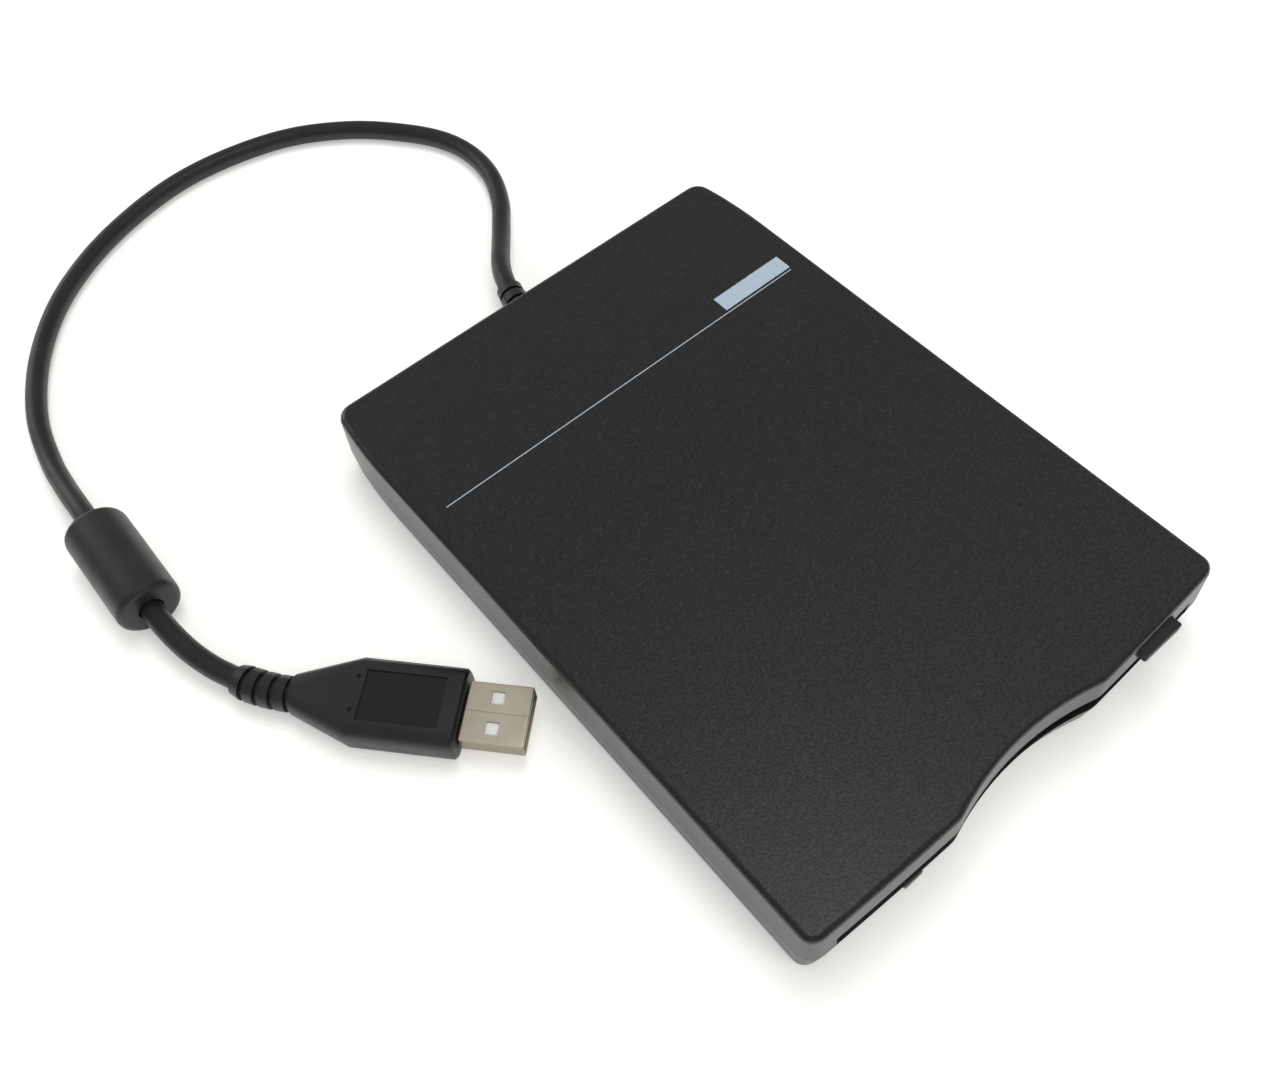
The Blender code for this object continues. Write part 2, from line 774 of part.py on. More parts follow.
def chassis():
    mid_x = chassis_in_x + chassis_sheet / 2
    mid_z = chassis_bottom + chassis_sheet / 2
    flange_top = slide_bottom + slide_sheet
    line = [(-mid_x, chassis_front_y, flange_top), (-mid_x, chassis_front_y, mid_z),
            (mid_x, chassis_front_y, mid_z), (mid_x, chassis_front_y, flange_top)]
    body = sheet("chassis", line, (0.0, chassis_rear_y - chassis_front_y, 0.0), chassis_sheet)
    ears = [((rod_x - rod_ear_half, y, chassis_bottom + chassis_sheet / 2),
             (rod_x + rod_ear_half, y + chassis_sheet, rod_z + rod_ear_half)) for y in rod_ear_places]
    join(body, boxes("chassis_rod_ears", ears, cutters))
    posts = [((x, y, mid_z), (x, y, lip_top_low - seat_gap)) for x, y in post_places]
    join(body, rods("chassis_posts", posts, post_radius, cutters, small_sides))
    slot_low = pin_z - carrier_drop - pin_radius - pin_slot_gap
    slot_wide = pin_radius + pin_slot_gap
    slots = [((-half_width, y - slot_wide, slot_low), (half_width, y + slot_wide, flange_top + overrun))
             for y in pin_places]
    cut(body, boxes("chassis_pin_slots", slots, cutters))
    rotor = [((0.0, spindle_y, chassis_bottom - overrun), (0.0, spindle_y, chassis_top + overrun))]
    cut(body, rods("chassis_rotor_window", rotor, rotor_radius + chassis_sheet, cutters))
    windows = [((chip_x - chip_half - gap, chip_y - chip_half - gap, chassis_bottom - overrun),
                (chip_x + chip_half + gap, chip_y + chip_half + gap, chassis_top + overrun)),
               ((-window_half, disk_rear_y - chassis_window_reach, chassis_bottom - overrun),
                (window_half, disk_rear_y, chassis_top + overrun)),
               ((cable_x - cable_half - gap, chassis_rear_y - cable_grip - gap, chassis_bottom - overrun),
                (cable_x + cable_half + gap, chassis_rear_y + overrun, chassis_top + overrun))]
    cut(body, boxes("chassis_windows", windows, cutters))
    holes = [((x, y, chassis_bottom - overrun), (x, y, chassis_top + overrun)) for x, y in seat_places]
    cut(body, rods("chassis_screw_holes", holes, screw_shank_radius + gap, cutters, small_sides))
    bores = [((rod_x, chassis_front_y, rod_z), (rod_x, chassis_rear_y + overrun, rod_z))]
    cut(body, rods("chassis_rod_bores", bores, rod_radius + seat_gap, cutters, small_sides))
    return finish(body, zinc_sheet())


def slanted_slot(y):
    # Outline in the side view of one cam slot in the slide plate's flange
    slope = math.atan2(carrier_drop, eject_travel)
    radius = pin_radius + pin_slot_gap
    start = (y, pin_z)
    end = (y + eject_travel, pin_z - carrier_drop)
    points = arc(start, radius, math.pi / 2 - slope, math.pi * 3 / 2 - slope, 6)
    points += arc(end, radius, -math.pi / 2 - slope, math.pi / 2 - slope, 6)
    return points


def slide_plate():
    mid_x = slide_in_x + slide_sheet / 2
    mid_z = slide_bottom + slide_sheet / 2
    low = pin_z - carrier_drop - pin_radius - pin_slot_gap - flange_margin
    line = [(-mid_x, slide_front_y, low), (-mid_x, slide_front_y, mid_z),
            (mid_x, slide_front_y, mid_z), (mid_x, slide_front_y, low)]
    body = sheet("slide_plate", line, (0.0, slide_rear_y - slide_front_y, 0.0), slide_sheet)
    half = button_width / 2 - button_wall - tongue_play
    tongue = [((button_x - half, tongue_front_y, slide_bottom),
               (button_x + half, slide_front_y + slide_sheet, slide_top))]
    join(body, boxes("slide_tongue", tongue, cutters))
    for i, y in enumerate(pin_places):
        outline = [(a, b) for a, b in slanted_slot(y)]
        slot = loft(f"slide_cam_slot_{i + 1}", [[(side * half_width, a, b) for a, b in outline]
                                                for side in (-1, 1)], cutters)
        cut(body, slot)
    window = [((-window_half - gap, disk_rear_y - window_reach, slide_bottom - overrun),
               (window_half + gap, slide_rear_y + overrun, slide_top + overrun)),
              ((-slide_opening_half, slide_front_y + slide_band, slide_bottom - overrun),
               (slide_opening_half, disk_rear_y - window_reach - slide_band, slide_top + overrun))]
    cut(body, boxes("slide_windows", window, cutters))
    return finish(body, zinc_sheet())


slide_opening_inset = 15.0 * mm
slide_opening_half = disk_width / 2 - slide_opening_inset
slide_band = 8.0 * mm
tongue_front_y = corner_y + gap


def disk_carrier():
    mid_x = carrier_in_x + carrier_sheet / 2
    roof_z = bay_roof + carrier_sheet / 2
    lip_z = bay_floor - carrier_sheet / 2
    lip_x = carrier_in_x - carrier_lip
    half_line = [(lip_x, lip_z), (mid_x, lip_z), (mid_x, roof_z)]
    line = [(-x, carrier_front_y, z) for x, z in half_line]
    line += [(x, carrier_front_y, z) for x, z in reversed(half_line)]
    run = disk_rear_y + wing_reach - carrier_front_y
    body = sheet("disk_carrier", line, (0.0, run, 0.0), carrier_sheet)
    pins = []
    for y in pin_places:
        for side in (-1, 1):
            pins.append(((side * mid_x, y, pin_z), (side * pin_end_x, y, pin_z)))
    join(body, rods("carrier_pins", pins, pin_radius, cutters, small_sides))
    stud = [((lever_x, lever_y, roof_z), (lever_x, lever_y, lever_top + seat_gap))]
    join(body, rods("carrier_stud", stud, stud_radius, cutters, small_sides))
    rear = disk_rear_y + wing_reach + overrun
    front = disk_rear_y - carrier_clear
    cuts = [((-window_half, disk_rear_y - window_reach, bay_roof - overrun),
             (window_half, front + overrun, carrier_top + overrun)),
            ((-wing_edge, front, bay_floor - carrier_sheet - overrun),
             (half_width, rear, carrier_top + overrun))]
    cut(body, boxes("carrier_window", cuts[:1], cutters))
    cut(body, boxes("carrier_rear_cut", cuts[1:], cutters))
    stud_place = (lever_x, lever_y)
    path = arc(stud_place, lever_arm + lever_path_half, lever_rest, lever_rest + lever_sweep, 10)
    path += arc(stud_place, lever_arm - lever_path_half, lever_rest + lever_sweep, lever_rest, 10)
    cut(body, plate("carrier_lever_path", path, bay_roof - overrun, carrier_top + overrun, cutters))
    ends = []
    for angle in (lever_rest, lever_rest + lever_sweep):
        x = lever_x + lever_arm * math.cos(angle)
        y = lever_y + lever_arm * math.sin(angle)
        ends.append(((x, y, bay_roof - overrun), (x, y, carrier_top + overrun)))
    cut(body, rods("carrier_lever_path_ends", ends, lever_path_half, cutters, small_sides))
    openings = [((-carrier_opening_half, carrier_front_y + carrier_band, bay_roof - overrun),
                 (carrier_opening_half, disk_rear_y - window_reach - carrier_band, carrier_top + overrun))]
    cut(body, boxes("carrier_opening", openings, cutters))
    return finish(body, zinc_sheet())


carrier_opening_inset = 21.0 * mm
carrier_opening_half = disk_width / 2 - carrier_opening_inset
carrier_band = 10.0 * mm


def shutter_lever():
    # Built pointing along +X about its stud, then turned to its rest angle
    shape = plate("shutter_lever", lever_outline(), lever_bottom, lever_top)
    join(shape, place_rod_local("lever_pin", lever_arm))
    hole = rods("lever_hole", [((0.0, 0.0, lever_bottom - overrun), (0.0, 0.0, lever_top + overrun))],
                stud_radius + running_gap, cutters, small_sides)
    cut(shape, hole)
    made = frozen(shape, "shutter_lever", parts)
    made.location = (lever_x, lever_y, 0.0)
    made.rotation_euler = (0.0, 0.0, lever_rest)
    return finish(made, zinc_sheet())


def lever_outline():
    tip = lever_pin_radius + gap
    points = arc((lever_arm, 0.0), tip, -math.pi / 2, math.pi / 2, 8)
    points += arc((0.0, 0.0), lever_boss_radius, math.asin(lever_half / lever_boss_radius),
                  2 * math.pi - math.asin(lever_half / lever_boss_radius), 18)
    return points


def place_rod_local(name, reach):
    low = lever_bottom - lever_pin_reach
    return rods(name, [((reach, 0.0, low), (reach, 0.0, lever_bottom + lever_thick / 2))],
                lever_pin_radius, cutters, small_sides)


def slot_door():
    half = slot_half - gap
    low = slot_bottom + gap
    flap = [((-half, door_y - door_thick / 2, low), (half, door_y + door_thick / 2, door_z))]
    leaf = boxes("slot_door", flap)
    barrel = [((-half, door_y, door_z), (half, door_y, door_z))]
    join(leaf, rods("door_barrel", barrel, door_barrel_radius, cutters, small_sides))
    end = slot_half + door_pin_length
    join(leaf, rods("door_pins", [((-end, door_y, door_z), (end, door_y, door_z))],
                    door_pin_radius, cutters, small_sides))
    made = frozen(leaf, "slot_door", parts)
    made.data.transform(Matrix.Translation((0.0, -door_y, -door_z)))
    made.location = (0.0, door_y, door_z)
    return finish(made, case_plastic())


def eject_button():
    half = button_width / 2
    front = corner_y - button_reach
    rear = front + button_depth
    shape = bmesh.new()
    add_box(shape, (button_x - half, front, button_bottom), (button_x + half, rear, button_top))
    button = place(mesh_of(shape, "eject_button"), "eject_button", parts)
    soften = button.modifiers.new("soften", "BEVEL")
    soften.width = button_edge
    soften.segments = 2
    inner = half - button_wall
    low = slide_bottom - tongue_play
    high = slide_top + tongue_play
    cavity = [((button_x - inner, corner_y, low), (button_x + inner, rear + overrun, high))]
    cut(button, boxes("button_cavity", cavity, cutters))
    return finish(button, button_plastic())


# Spindle
rotor_radius = 17.5 * mm
rotor_rim = 0.9 * mm
rotor_web = 0.45 * mm
rotor_skirt = 0.9 * mm
hub_radius = 11.0 * mm
hub_rise = 0.25 * mm
shaft_radius = 1.5 * mm
shaft_proud = 0.9 * mm
bearing_radius = 3.0 * mm
bearing_flange_radius = 4.8 * mm
bearing_flange_thick = 0.4 * mm
stator_inner = 5.6 * mm
stator_outer = 15.4 * mm
drive_pin_radius = 0.9 * mm
drive_pin_offset = 6.5 * mm
drive_pin_depth = 0.5 * mm
hub_top = lip_top_low + seat_gap
web_top = hub_top - hub_rise
web_bottom = web_top - rotor_web
rim_bottom = web_bottom - rotor_skirt
stator_bottom = board_top + seat_gap
stator_top = web_bottom - gap


def spindle_rotor():
    inner = rotor_radius - rotor_rim
    edge = rotor_web / 2
    profile = [
        (0.0, hub_top + shaft_proud), (shaft_radius - edge, hub_top + shaft_proud),
        (shaft_radius, hub_top + shaft_proud - edge), (shaft_radius, hub_top), (hub_radius - edge, hub_top),
        (hub_radius, web_top), (rotor_radius - edge, web_top), (rotor_radius, web_top - edge),
        (rotor_radius, rim_bottom), (inner, rim_bottom), (inner, web_bottom), (shaft_radius, web_bottom),
        (shaft_radius, board_top + seat_gap), (0.0, board_top + seat_gap)]
    rotor = turned("spindle_rotor", profile, sides=48)
    pocket = [((drive_pin_offset, 0.0, hub_top - drive_pin_depth),
               (drive_pin_offset, 0.0, hub_top + overrun))]
    tool = rods("rotor_pin_pocket", pocket, drive_pin_radius + running_gap, cutters, small_sides)
    tool.location = (0.0, spindle_y, 0.0)
    rotor.location = (0.0, spindle_y, 0.0)
    cut(rotor, tool)
    return finish(rotor, turned_steel())


def drive_pin():
    low = hub_top - drive_pin_depth + seat_gap
    high = hub_top + shaft_proud
    edge = drive_pin_radius / 3
    profile = [(0.0, high), (drive_pin_radius - edge, high), (drive_pin_radius, high - edge),
               (drive_pin_radius, low), (0.0, low)]
    pin = turned("drive_pin", profile, sides=small_sides)
    pin.parent = parts.objects["spindle_rotor"]
    pin.location = (drive_pin_offset, 0.0, 0.0)
    return finish(pin, turned_steel())


def spindle_bearing():
    low = board_top + seat_gap
    high = web_bottom - seat_gap
    bore = shaft_radius + running_gap
    flange = low + bearing_flange_thick
    profile = [(bore, high), (bearing_radius, high), (bearing_radius, flange),
               (bearing_flange_radius, flange), (bearing_flange_radius, low), (bore, low)]
    bearing = turned("spindle_bearing", profile, closed=True)
    bearing.location = (0.0, spindle_y, 0.0)
    return finish(bearing, turned_steel())


def spindle_stator():
    # A ring of coils on a core: the round ring cut by narrow radial gaps from above
    profile = [(stator_inner, stator_top), (stator_outer, stator_top),
               (stator_outer, stator_bottom), (stator_inner, stator_bottom)]
    ring = turned("spindle_stator", profile, closed=True)
    ring.location = (0.0, spindle_y, 0.0)
    coil_count = 9
    slit = gap / 2
    height = stator_top - stator_bottom
    out = stator_inner + rotor_rim + stator_outer / 2
    shape = bmesh.new()
    for i in range(coil_count):
        turn = Matrix.Rotation(2 * math.pi * i / coil_count, 4, "Z")
        size = Matrix.Diagonal((stator_outer, 2 * slit, height, 1.0))
        centre = Matrix.Translation((out, 0.0, stator_top))
        bmesh.ops.create_cube(shape, size=1.0, matrix=turn @ centre @ size)
    tool = place(mesh_of(shape, "stator_slits"), "stator_slits", cutters)
    tool.location = ring.location
    cut(ring, tool)
    return finish(ring, copper_coil())


# Main board under the chassis, and what stands on it
main_board_inset = 14.0 * mm
main_board_half = disk_width / 2 - main_board_inset
main_board_front = 22.0 * mm
chip_half = 5.0 * mm
chip_height = 1.0 * mm
chip_inset = 7.0 * mm
chip_x = -(main_board_half - chip_inset)
chip_y = disk_rear_y - chip_half * 2


def board(name, low, high):
    body = boxes(name, [(low, high)])
    return finish(body, board_laminate())


def main_board():
    front = spindle_y - main_board_front
    low = (-main_board_half, front, board_bottom)
    return board("main_board", low, (main_board_half, chassis_rear_y, board_top))


def chip(name, x, y, half, bottom, height):
    body = boxes(name, [((x - half, y - half, bottom), (x + half, y + half, bottom + height))])
    return finish(body, chip_resin())


def drive_chip():
    return chip("drive_chip", chip_x, chip_y, chip_half, board_top + seat_gap, chip_height)


# Sensing switches on the chassis, under the disk's front corners
switch_half_x = 2.0 * mm
switch_half_y = 2.5 * mm
switch_body = 0.7 * mm
switch_plunger_radius = 0.6 * mm
switch_plunger_reach = 1.4 * mm
switch_inset = 5.7 * mm
switch_x = disk_width / 2 - switch_inset
switch_y = disk_front_y + 3 * switch_half_y


def sensing_switch(name, x):
    low = chassis_top + seat_gap
    high = low + switch_body
    body = boxes(name, [((x - switch_half_x, switch_y - switch_half_y, low),
                         (x + switch_half_x, switch_y + switch_half_y, high))])
    plunger = [((x, switch_y, low + switch_body / 2), (x, switch_y, high + switch_plunger_reach))]
    join(body, rods(name + "_plunger", plunger, switch_plunger_radius, cutters, small_sides))
    return finish(body, chip_resin())


# Head carriage, its guide rod and its lead screw
rod_radius = 1.25 * mm
rod_x = -13.0 * mm
rod_rise = 3.2 * mm
rod_z = chassis_top + rod_rise
rod_ear_half = 2.2 * mm
ear_behind_disk = 0.6 * mm
hub_wall = 1.35 * mm
carriage_front = 17.0 * mm
carriage_length = 9.5 * mm
carriage_rise = 5.6 * mm
carriage_top = chassis_top + carriage_rise
carriage_half_right = 7.9 * mm
carriage_clear = 0.25 * mm
head_from_lead = 7.0 * mm
head_radius = 2.2 * mm
arm_overhang = 3.0 * mm
arm_thick = 0.8 * mm
lower_arm_thick = 0.6 * mm
lower_head_height = 1.6 * mm
pivot_back = 1.6 * mm
pivot_radius = 1.2 * mm
pivot_pin_radius = 0.6 * mm
pivot_pin_length = 1.3 * mm
pivot_ear = 1.4 * mm
carriage_front_y = disk_rear_y + carriage_front
carriage_rear_y = carriage_front_y + carriage_length
rod_ear_places = [disk_rear_y + ear_behind_disk, carriage_rear_y + gap]
head_y = disk_rear_y - head_from_lead
pivot_y = carriage_rear_y - pivot_back
upper_head_bottom = bay_roof + gap
arm_bottom = upper_head_bottom + arm_thick
arm_top = arm_bottom + arm_thick
pivot_z = arm_bottom - pivot_radius + gap
lower_arm_bottom = chassis_top + carriage_clear
lower_arm_top = lower_arm_bottom + lower_arm_thick
screw_x = 13.0 * mm
screw_radius = 1.25 * mm
screw_pivot_radius = 0.7 * mm
motor_radius = 4.7 * mm
motor_length = 7.5 * mm
screw_z = chassis_top + gap + motor_radius
bracket_sheet = 0.8 * mm
bracket_half = 4.5 * mm
bracket_front_y = disk_rear_y + ear_behind_disk
bracket_rear_y = disk_rear_y + carriage_front + head_radius
nut_thick = 1.4 * mm
nut_half_z = 0.6 * mm
post_radius = 1.0 * mm
post_inset = 11.0 * mm
post_front = 24.0 * mm
post_rear = 26.0 * mm
post_x = disk_width / 2 - post_inset
post_places = [(post_x, disk_front_y + post_front), (post_x, disk_rear_y - post_rear)]
post_places += [(-x, y) for x, y in post_places]
chassis_window_reach = head_from_lead + head_travel + head_radius


def head_carriage():
    hub_out = rod_radius + running_gap + hub_wall
    low = chassis_top + carriage_clear
    body = boxes("head_carriage", [((rod_x, carriage_front_y, low),
                                    (carriage_half_right, carriage_rear_y, carriage_top))])
    hub = [((rod_x, carriage_front_y, rod_z), (rod_x, carriage_rear_y, rod_z))]
    join(body, rods("carriage_hub", hub, hub_out, cutters, small_sides))
    arm = [((-arm_half + gap, head_y - arm_overhang, lower_arm_bottom),
            (arm_half - gap, carriage_front_y + overrun, lower_arm_top))]
    join(body, boxes("carriage_lower_arm", arm, cutters))
    nut_rear = carriage_front_y + nut_thick
    nut = [((carriage_half_right - overrun, carriage_front_y, screw_z - nut_half_z),
            (screw_x - screw_radius - running_gap, nut_rear, screw_z + nut_half_z))]
    join(body, boxes("carriage_nut", nut, cutters))
    ears = []
    for side in (-1, 1):
        inner = side * (arm_half + gap)
        outer = side * (arm_half + gap + pivot_ear)
        ears.append(((min(inner, outer), pivot_y - pivot_radius, carriage_top - overrun),
                     (max(inner, outer), pivot_y + pivot_radius, pivot_z + pivot_radius)))
    join(body, boxes("carriage_pivot_ears", ears, cutters))
    bore = [((rod_x, carriage_front_y - overrun, rod_z), (rod_x, carriage_rear_y + overrun, rod_z))]
    cut(body, rods("carriage_rod_bore", bore, rod_radius + running_gap, cutters, round_sides))
    reach = arm_half + gap + pivot_ear + overrun
    pivot = [((-reach, pivot_y, pivot_z), (reach, pivot_y, pivot_z))]
    cut(body, rods("carriage_pivot_bores", pivot, pivot_pin_radius + running_gap, cutters, small_sides))
    return finish(body, carriage_resin())


def upper_head_arm():
    body = boxes("upper_head_arm", [((-arm_half, head_y - arm_overhang, arm_bottom),
                                     (arm_half, pivot_y + pivot_radius / 2, arm_top))])
    barrel = [((-arm_half, pivot_y, pivot_z), (arm_half, pivot_y, pivot_z))]
    join(body, rods("arm_barrel", barrel, pivot_radius, cutters, small_sides))
    end = arm_half + gap + pivot_pin_length
    join(body, rods("arm_pins", [((-end, pivot_y, pivot_z), (end, pivot_y, pivot_z))],
                    pivot_pin_radius, cutters, small_sides))
    made = frozen(body, "upper_head_arm", parts)
    made.data.transform(Matrix.Translation((0.0, -pivot_y, -pivot_z)))
    made.location = (0.0, pivot_y, pivot_z)
    return finish(made, zinc_sheet())


def head(name, bottom, top):
    edge = (top - bottom) / 4
    profile = [(0.0, top), (head_radius - edge, top), (head_radius, top - edge),
               (head_radius, bottom + edge), (head_radius - edge, bottom), (0.0, bottom)]
    return finish(turned(name, profile, sides=small_sides), head_ceramic())


def heads():
    # The upper head hangs from the arm, whose origin is on its pivot
    low = lower_arm_top + seat_gap
    lower = head("lower_head", low, low + lower_head_height)
    lower.location = (0.0, head_y, 0.0)
    upper = head("upper_head", upper_head_bottom, arm_bottom - seat_gap)
    upper.parent = parts.objects["upper_head_arm"]
    upper.location = (0.0, head_y - pivot_y, -pivot_z)


def guide_rod():
    start = rod_ear_places[0] - gap
    end = rod_ear_places[1] + chassis_sheet + gap
    rod = rods("guide_rod", [((rod_x, start, rod_z), (rod_x, end, rod_z))], rod_radius)
    return finish(rod, turned_steel())


def lead_screw():
    # Along +Y: a front pivot, the screw and a rear end that stops short of the motor
    start = bracket_front_y - gap
    thread_start = bracket_front_y + bracket_sheet + gap
    end = bracket_rear_y + bracket_sheet
    length = end - start
    profile = [(0.0, length), (screw_radius, length), (screw_radius, thread_start - start),
               (screw_pivot_radius, thread_start - start), (screw_pivot_radius, 0.0), (0.0, 0.0)]
    piece = turned("lead_screw", profile, sides=small_sides)
    aim(piece, (screw_x, start, screw_z), (0.0, 1.0, 0.0))
    return finish(piece, turned_steel())


def stepper_motor():
    start = bracket_rear_y + bracket_sheet + seat_gap
    cap = bracket_sheet / 2
    step = motor_radius / 4
    profile = [(0.0, motor_length), (motor_radius - step, motor_length),
               (motor_radius - step, motor_length - cap), (motor_radius, motor_length - cap),
               (motor_radius, 0.0), (0.0, 0.0)]
    piece = turned("stepper_motor", profile)
    aim(piece, (screw_x, start, screw_z), (0.0, 1.0, 0.0))
    return finish(piece, zinc_sheet())


def stepper_bracket():
    low = chassis_top + seat_gap + bracket_sheet / 2
    front = bracket_front_y + bracket_sheet / 2
    rear = bracket_rear_y + bracket_sheet / 2
    front_top = screw_z + bracket_half / 2
    rear_top = screw_z + motor_radius
    left = screw_x - bracket_half
    line = [(left, front, front_top), (left, front, low), (left, rear, low), (left, rear, rear_top)]
    body = sheet("stepper_bracket", line, (2 * bracket_half, 0.0, 0.0), bracket_sheet)
    bore = [((screw_x, bracket_front_y - overrun, screw_z),
             (screw_x, bracket_front_y + 2 * overrun, screw_z))]
    cut(body, rods("bracket_front_bore", bore, screw_pivot_radius + running_gap, cutters, small_sides))
    window = [((screw_x, bracket_rear_y - overrun, screw_z),
               (screw_x, bracket_rear_y + 2 * overrun, screw_z))]
    cut(body, rods("bracket_rear_bore", window, screw_radius + gap, cutters, small_sides))
    return finish(body, zinc_sheet())


# Pieces on the rear board
bridge_chip_half = 3.5 * mm
bridge_chip_inset = 15.0 * mm
bridge_chip_x = -(usb_board_half - bridge_chip_inset)
crystal_inset = 5.0 * mm
crystal_x = -(usb_board_half - crystal_inset)
crystal_half_x = 4.0 * mm
crystal_half_y = 1.8 * mm
crystal_height = 3.0 * mm
capacitor_radius = 2.5 * mm
capacitor_height = 5.0 * mm
connector_half = 5.0 * mm
connector_depth = 3.6 * mm
connector_height = 4.4 * mm
cable_inset = 6.0 * mm
cable_x = main_board_half - cable_inset
cable_half = 5.0 * mm
capacitor_x = (cord_exit_x + connector_half + cable_x - cable_half) / 2
cable_thick = 0.3 * mm
cable_grip = 3.0 * mm
rear_board_y = (usb_board_front + usb_board_rear) / 2


def usb_board():
    low = (-usb_board_half, usb_board_front, usb_board_bottom)
    return board("usb_board", low, (usb_board_half, usb_board_rear, usb_board_top))


def bridge_chip():
    low = usb_board_top + seat_gap
    return chip("bridge_chip", bridge_chip_x, rear_board_y, bridge_chip_half, low, chip_height)


def crystal_can():
    low = usb_board_top + seat_gap
    high = low + crystal_height
    can = [((crystal_x - crystal_half_x, rear_board_y - crystal_half_y, low),
            (crystal_x + crystal_half_x, rear_board_y + crystal_half_y, high))]
    body = boxes("crystal_can", can)
    soften = body.modifiers.new("soften", "BEVEL")
    soften.width = crystal_half_y / 3
    soften.segments = 2
    return finish(body, nickel_sheet())


def board_capacitor():
    low = usb_board_top + seat_gap
    high = low + capacitor_height
    edge = capacitor_radius / 6
    profile = [(0.0, high), (capacitor_radius - edge, high), (capacitor_radius, high - edge),
               (capacitor_radius, low), (0.0, low)]
    can = turned("board_capacitor", profile, sides=small_sides)
    can.location = (capacitor_x, rear_board_y, 0.0)
    return finish(can, nickel_sheet())


def cord_connector():
    low = usb_board_top + seat_gap
    front = usb_board_front + gap
    rear = front + connector_depth
    body = boxes("cord_connector", [((cord_exit_x - connector_half, front, low),
                                     (cord_exit_x + connector_half, rear, low + connector_height))])
    return finish(body, white_nylon())


def cord_inner():
    # The end of the cord inside the case, from the strain relief to its connector
    start = usb_board_front + gap + connector_depth + gap
    end = relief_front_y - gap
    radius = min(cord_radius, connector_height) - gap
    piece = rods("cord_inner", [((cord_exit_x, start, parting_z), (cord_exit_x, end, parting_z))],
                 radius, sides=small_sides)
    return finish(piece, cord_sheath())


def flat_cable():
    # From under the main board's rear edge, up over the rear board's front edge
    x = cable_x - cable_half
    start = chassis_rear_y - cable_grip
    low = board_top + seat_gap + cable_thick / 2
    bend = chassis_rear_y + (usb_board_front - chassis_rear_y) / 2
    high = usb_board_top + seat_gap + cable_thick / 2
    line = [(x, start, low), (x, bend, low), (x, bend, high), (x, usb_board_front + cable_grip, high)]
    piece = sheet("flat_cable", line, (2 * cable_half, 0.0, 0.0), cable_thick)
    return finish(piece, white_nylon())


# Access lamp behind the front lip


def lamp_lens():
    half = lens_width / 2
    edge = lens_height / 4
    body = boxes("lamp_lens", [((lens_x - half, lens_front_y, lens_bottom),
                                (lens_x + half, lens_front_y + lens_length, lens_bottom + lens_height))])
    soften = body.modifiers.new("soften", "BEVEL")
    soften.width = edge
    soften.segments = 2
    return finish(body, lamp_resin())


def access_lamp():
    half = lamp_size / 2
    front = lens_front_y + lens_length + gap
    low = board_top + seat_gap
    rear = front + lamp_size
    body = boxes("access_lamp", [((lens_x - half, front, low), (lens_x + half, rear, low + lamp_height))])
    return finish(body, lamp_resin())


def lamp_board():
    front = lens_front_y + lens_length - 2 * gap
    return board("lamp_board", (lens_x - lamp_board_half, front, board_bottom),
                 (lens_x + lamp_board_half, chassis_front_y - gap, board_top))


# Cord, its strain relief, its ferrite sleeve and its plug

ferrite_radius = 6.6 * mm
ferrite_length = 25.0 * mm
ferrite_edge = 1.5 * mm
ferrite_x = -101.2 * mm
ferrite_y = 76.0 * mm
plug_half_height = 4.2 * mm
plug_half_width = 8.4 * mm
plug_root_half = 3.7 * mm
plug_taper = 12.5 * mm
plug_length = 33.0 * mm
plug_corner = 2.8 * mm
plug_edge = 0.5 * mm
plug_x = -89.4 * mm
plug_y = 30.0 * mm
plug_turn = math.radians(-48.3)
plug_relief_length = 12.0 * mm
plug_bend = math.radians(17)
plug_rib_radius = 3.5 * mm
plug_core_radius = 2.8 * mm
plug_rib_count = 4
shell_width = 12.0 * mm
shell_height = 4.5 * mm
shell_length = 12.6 * mm
shell_sheet = 0.3 * mm
shell_seam_half = 0.04 * mm
shell_hole = 2.5 * mm
shell_hole_offset = 3.05 * mm
shell_hole_reach = 6.2 * mm
tongue_height = 1.9 * mm
contact_width = 1.0 * mm
contact_length = 7.4 * mm
contact_thick = 0.2 * mm
contact_shares = (-0.75, -0.25, 0.25, 0.75)
contact_span = 4.6 * mm
table_gap = 0.05 * mm
plug_z = plug_half_height + table_gap
ferrite_z = ferrite_radius + table_gap


def strain_relief():
    # Along +Y: a collar inside the wall, a neck through it and a ribbed tail that bends with the cord
    collar_end = relief_collar_thick
    neck_end = rear_y + seat_gap - relief_front_y
    profile = [(0.0, 0.0), (relief_collar_radius, 0.0), (relief_collar_radius, collar_end),
               (relief_neck_radius, collar_end), (relief_neck_radius, neck_end)]
    for i in range(relief_rib_count):
        share = i / (relief_rib_count - 1)
        radius = relief_root_radius + (relief_tip_radius - relief_root_radius) * share
        start = neck_end + relief_pitch * i
        profile += [(radius, start), (radius, start + relief_pitch - relief_groove_width)]
        if i < relief_rib_count - 1:
            profile += [(radius - relief_groove, start + relief_pitch - relief_groove_width),
                        (radius - relief_groove, start + relief_pitch)]
    profile.append((0.0, profile[-1][1]))
    profile.reverse()
    piece = frozen(turned("strain_relief", profile, sides=small_sides), "strain_relief", parts)
    bent(piece, neck_end, relief_reach, relief_bend)
    piece.location = (cord_exit_x, relief_front_y, parting_z)
    piece.rotation_euler = (-math.pi / 2, 0.0, 0.0)
    return finish(piece, cord_sheath())


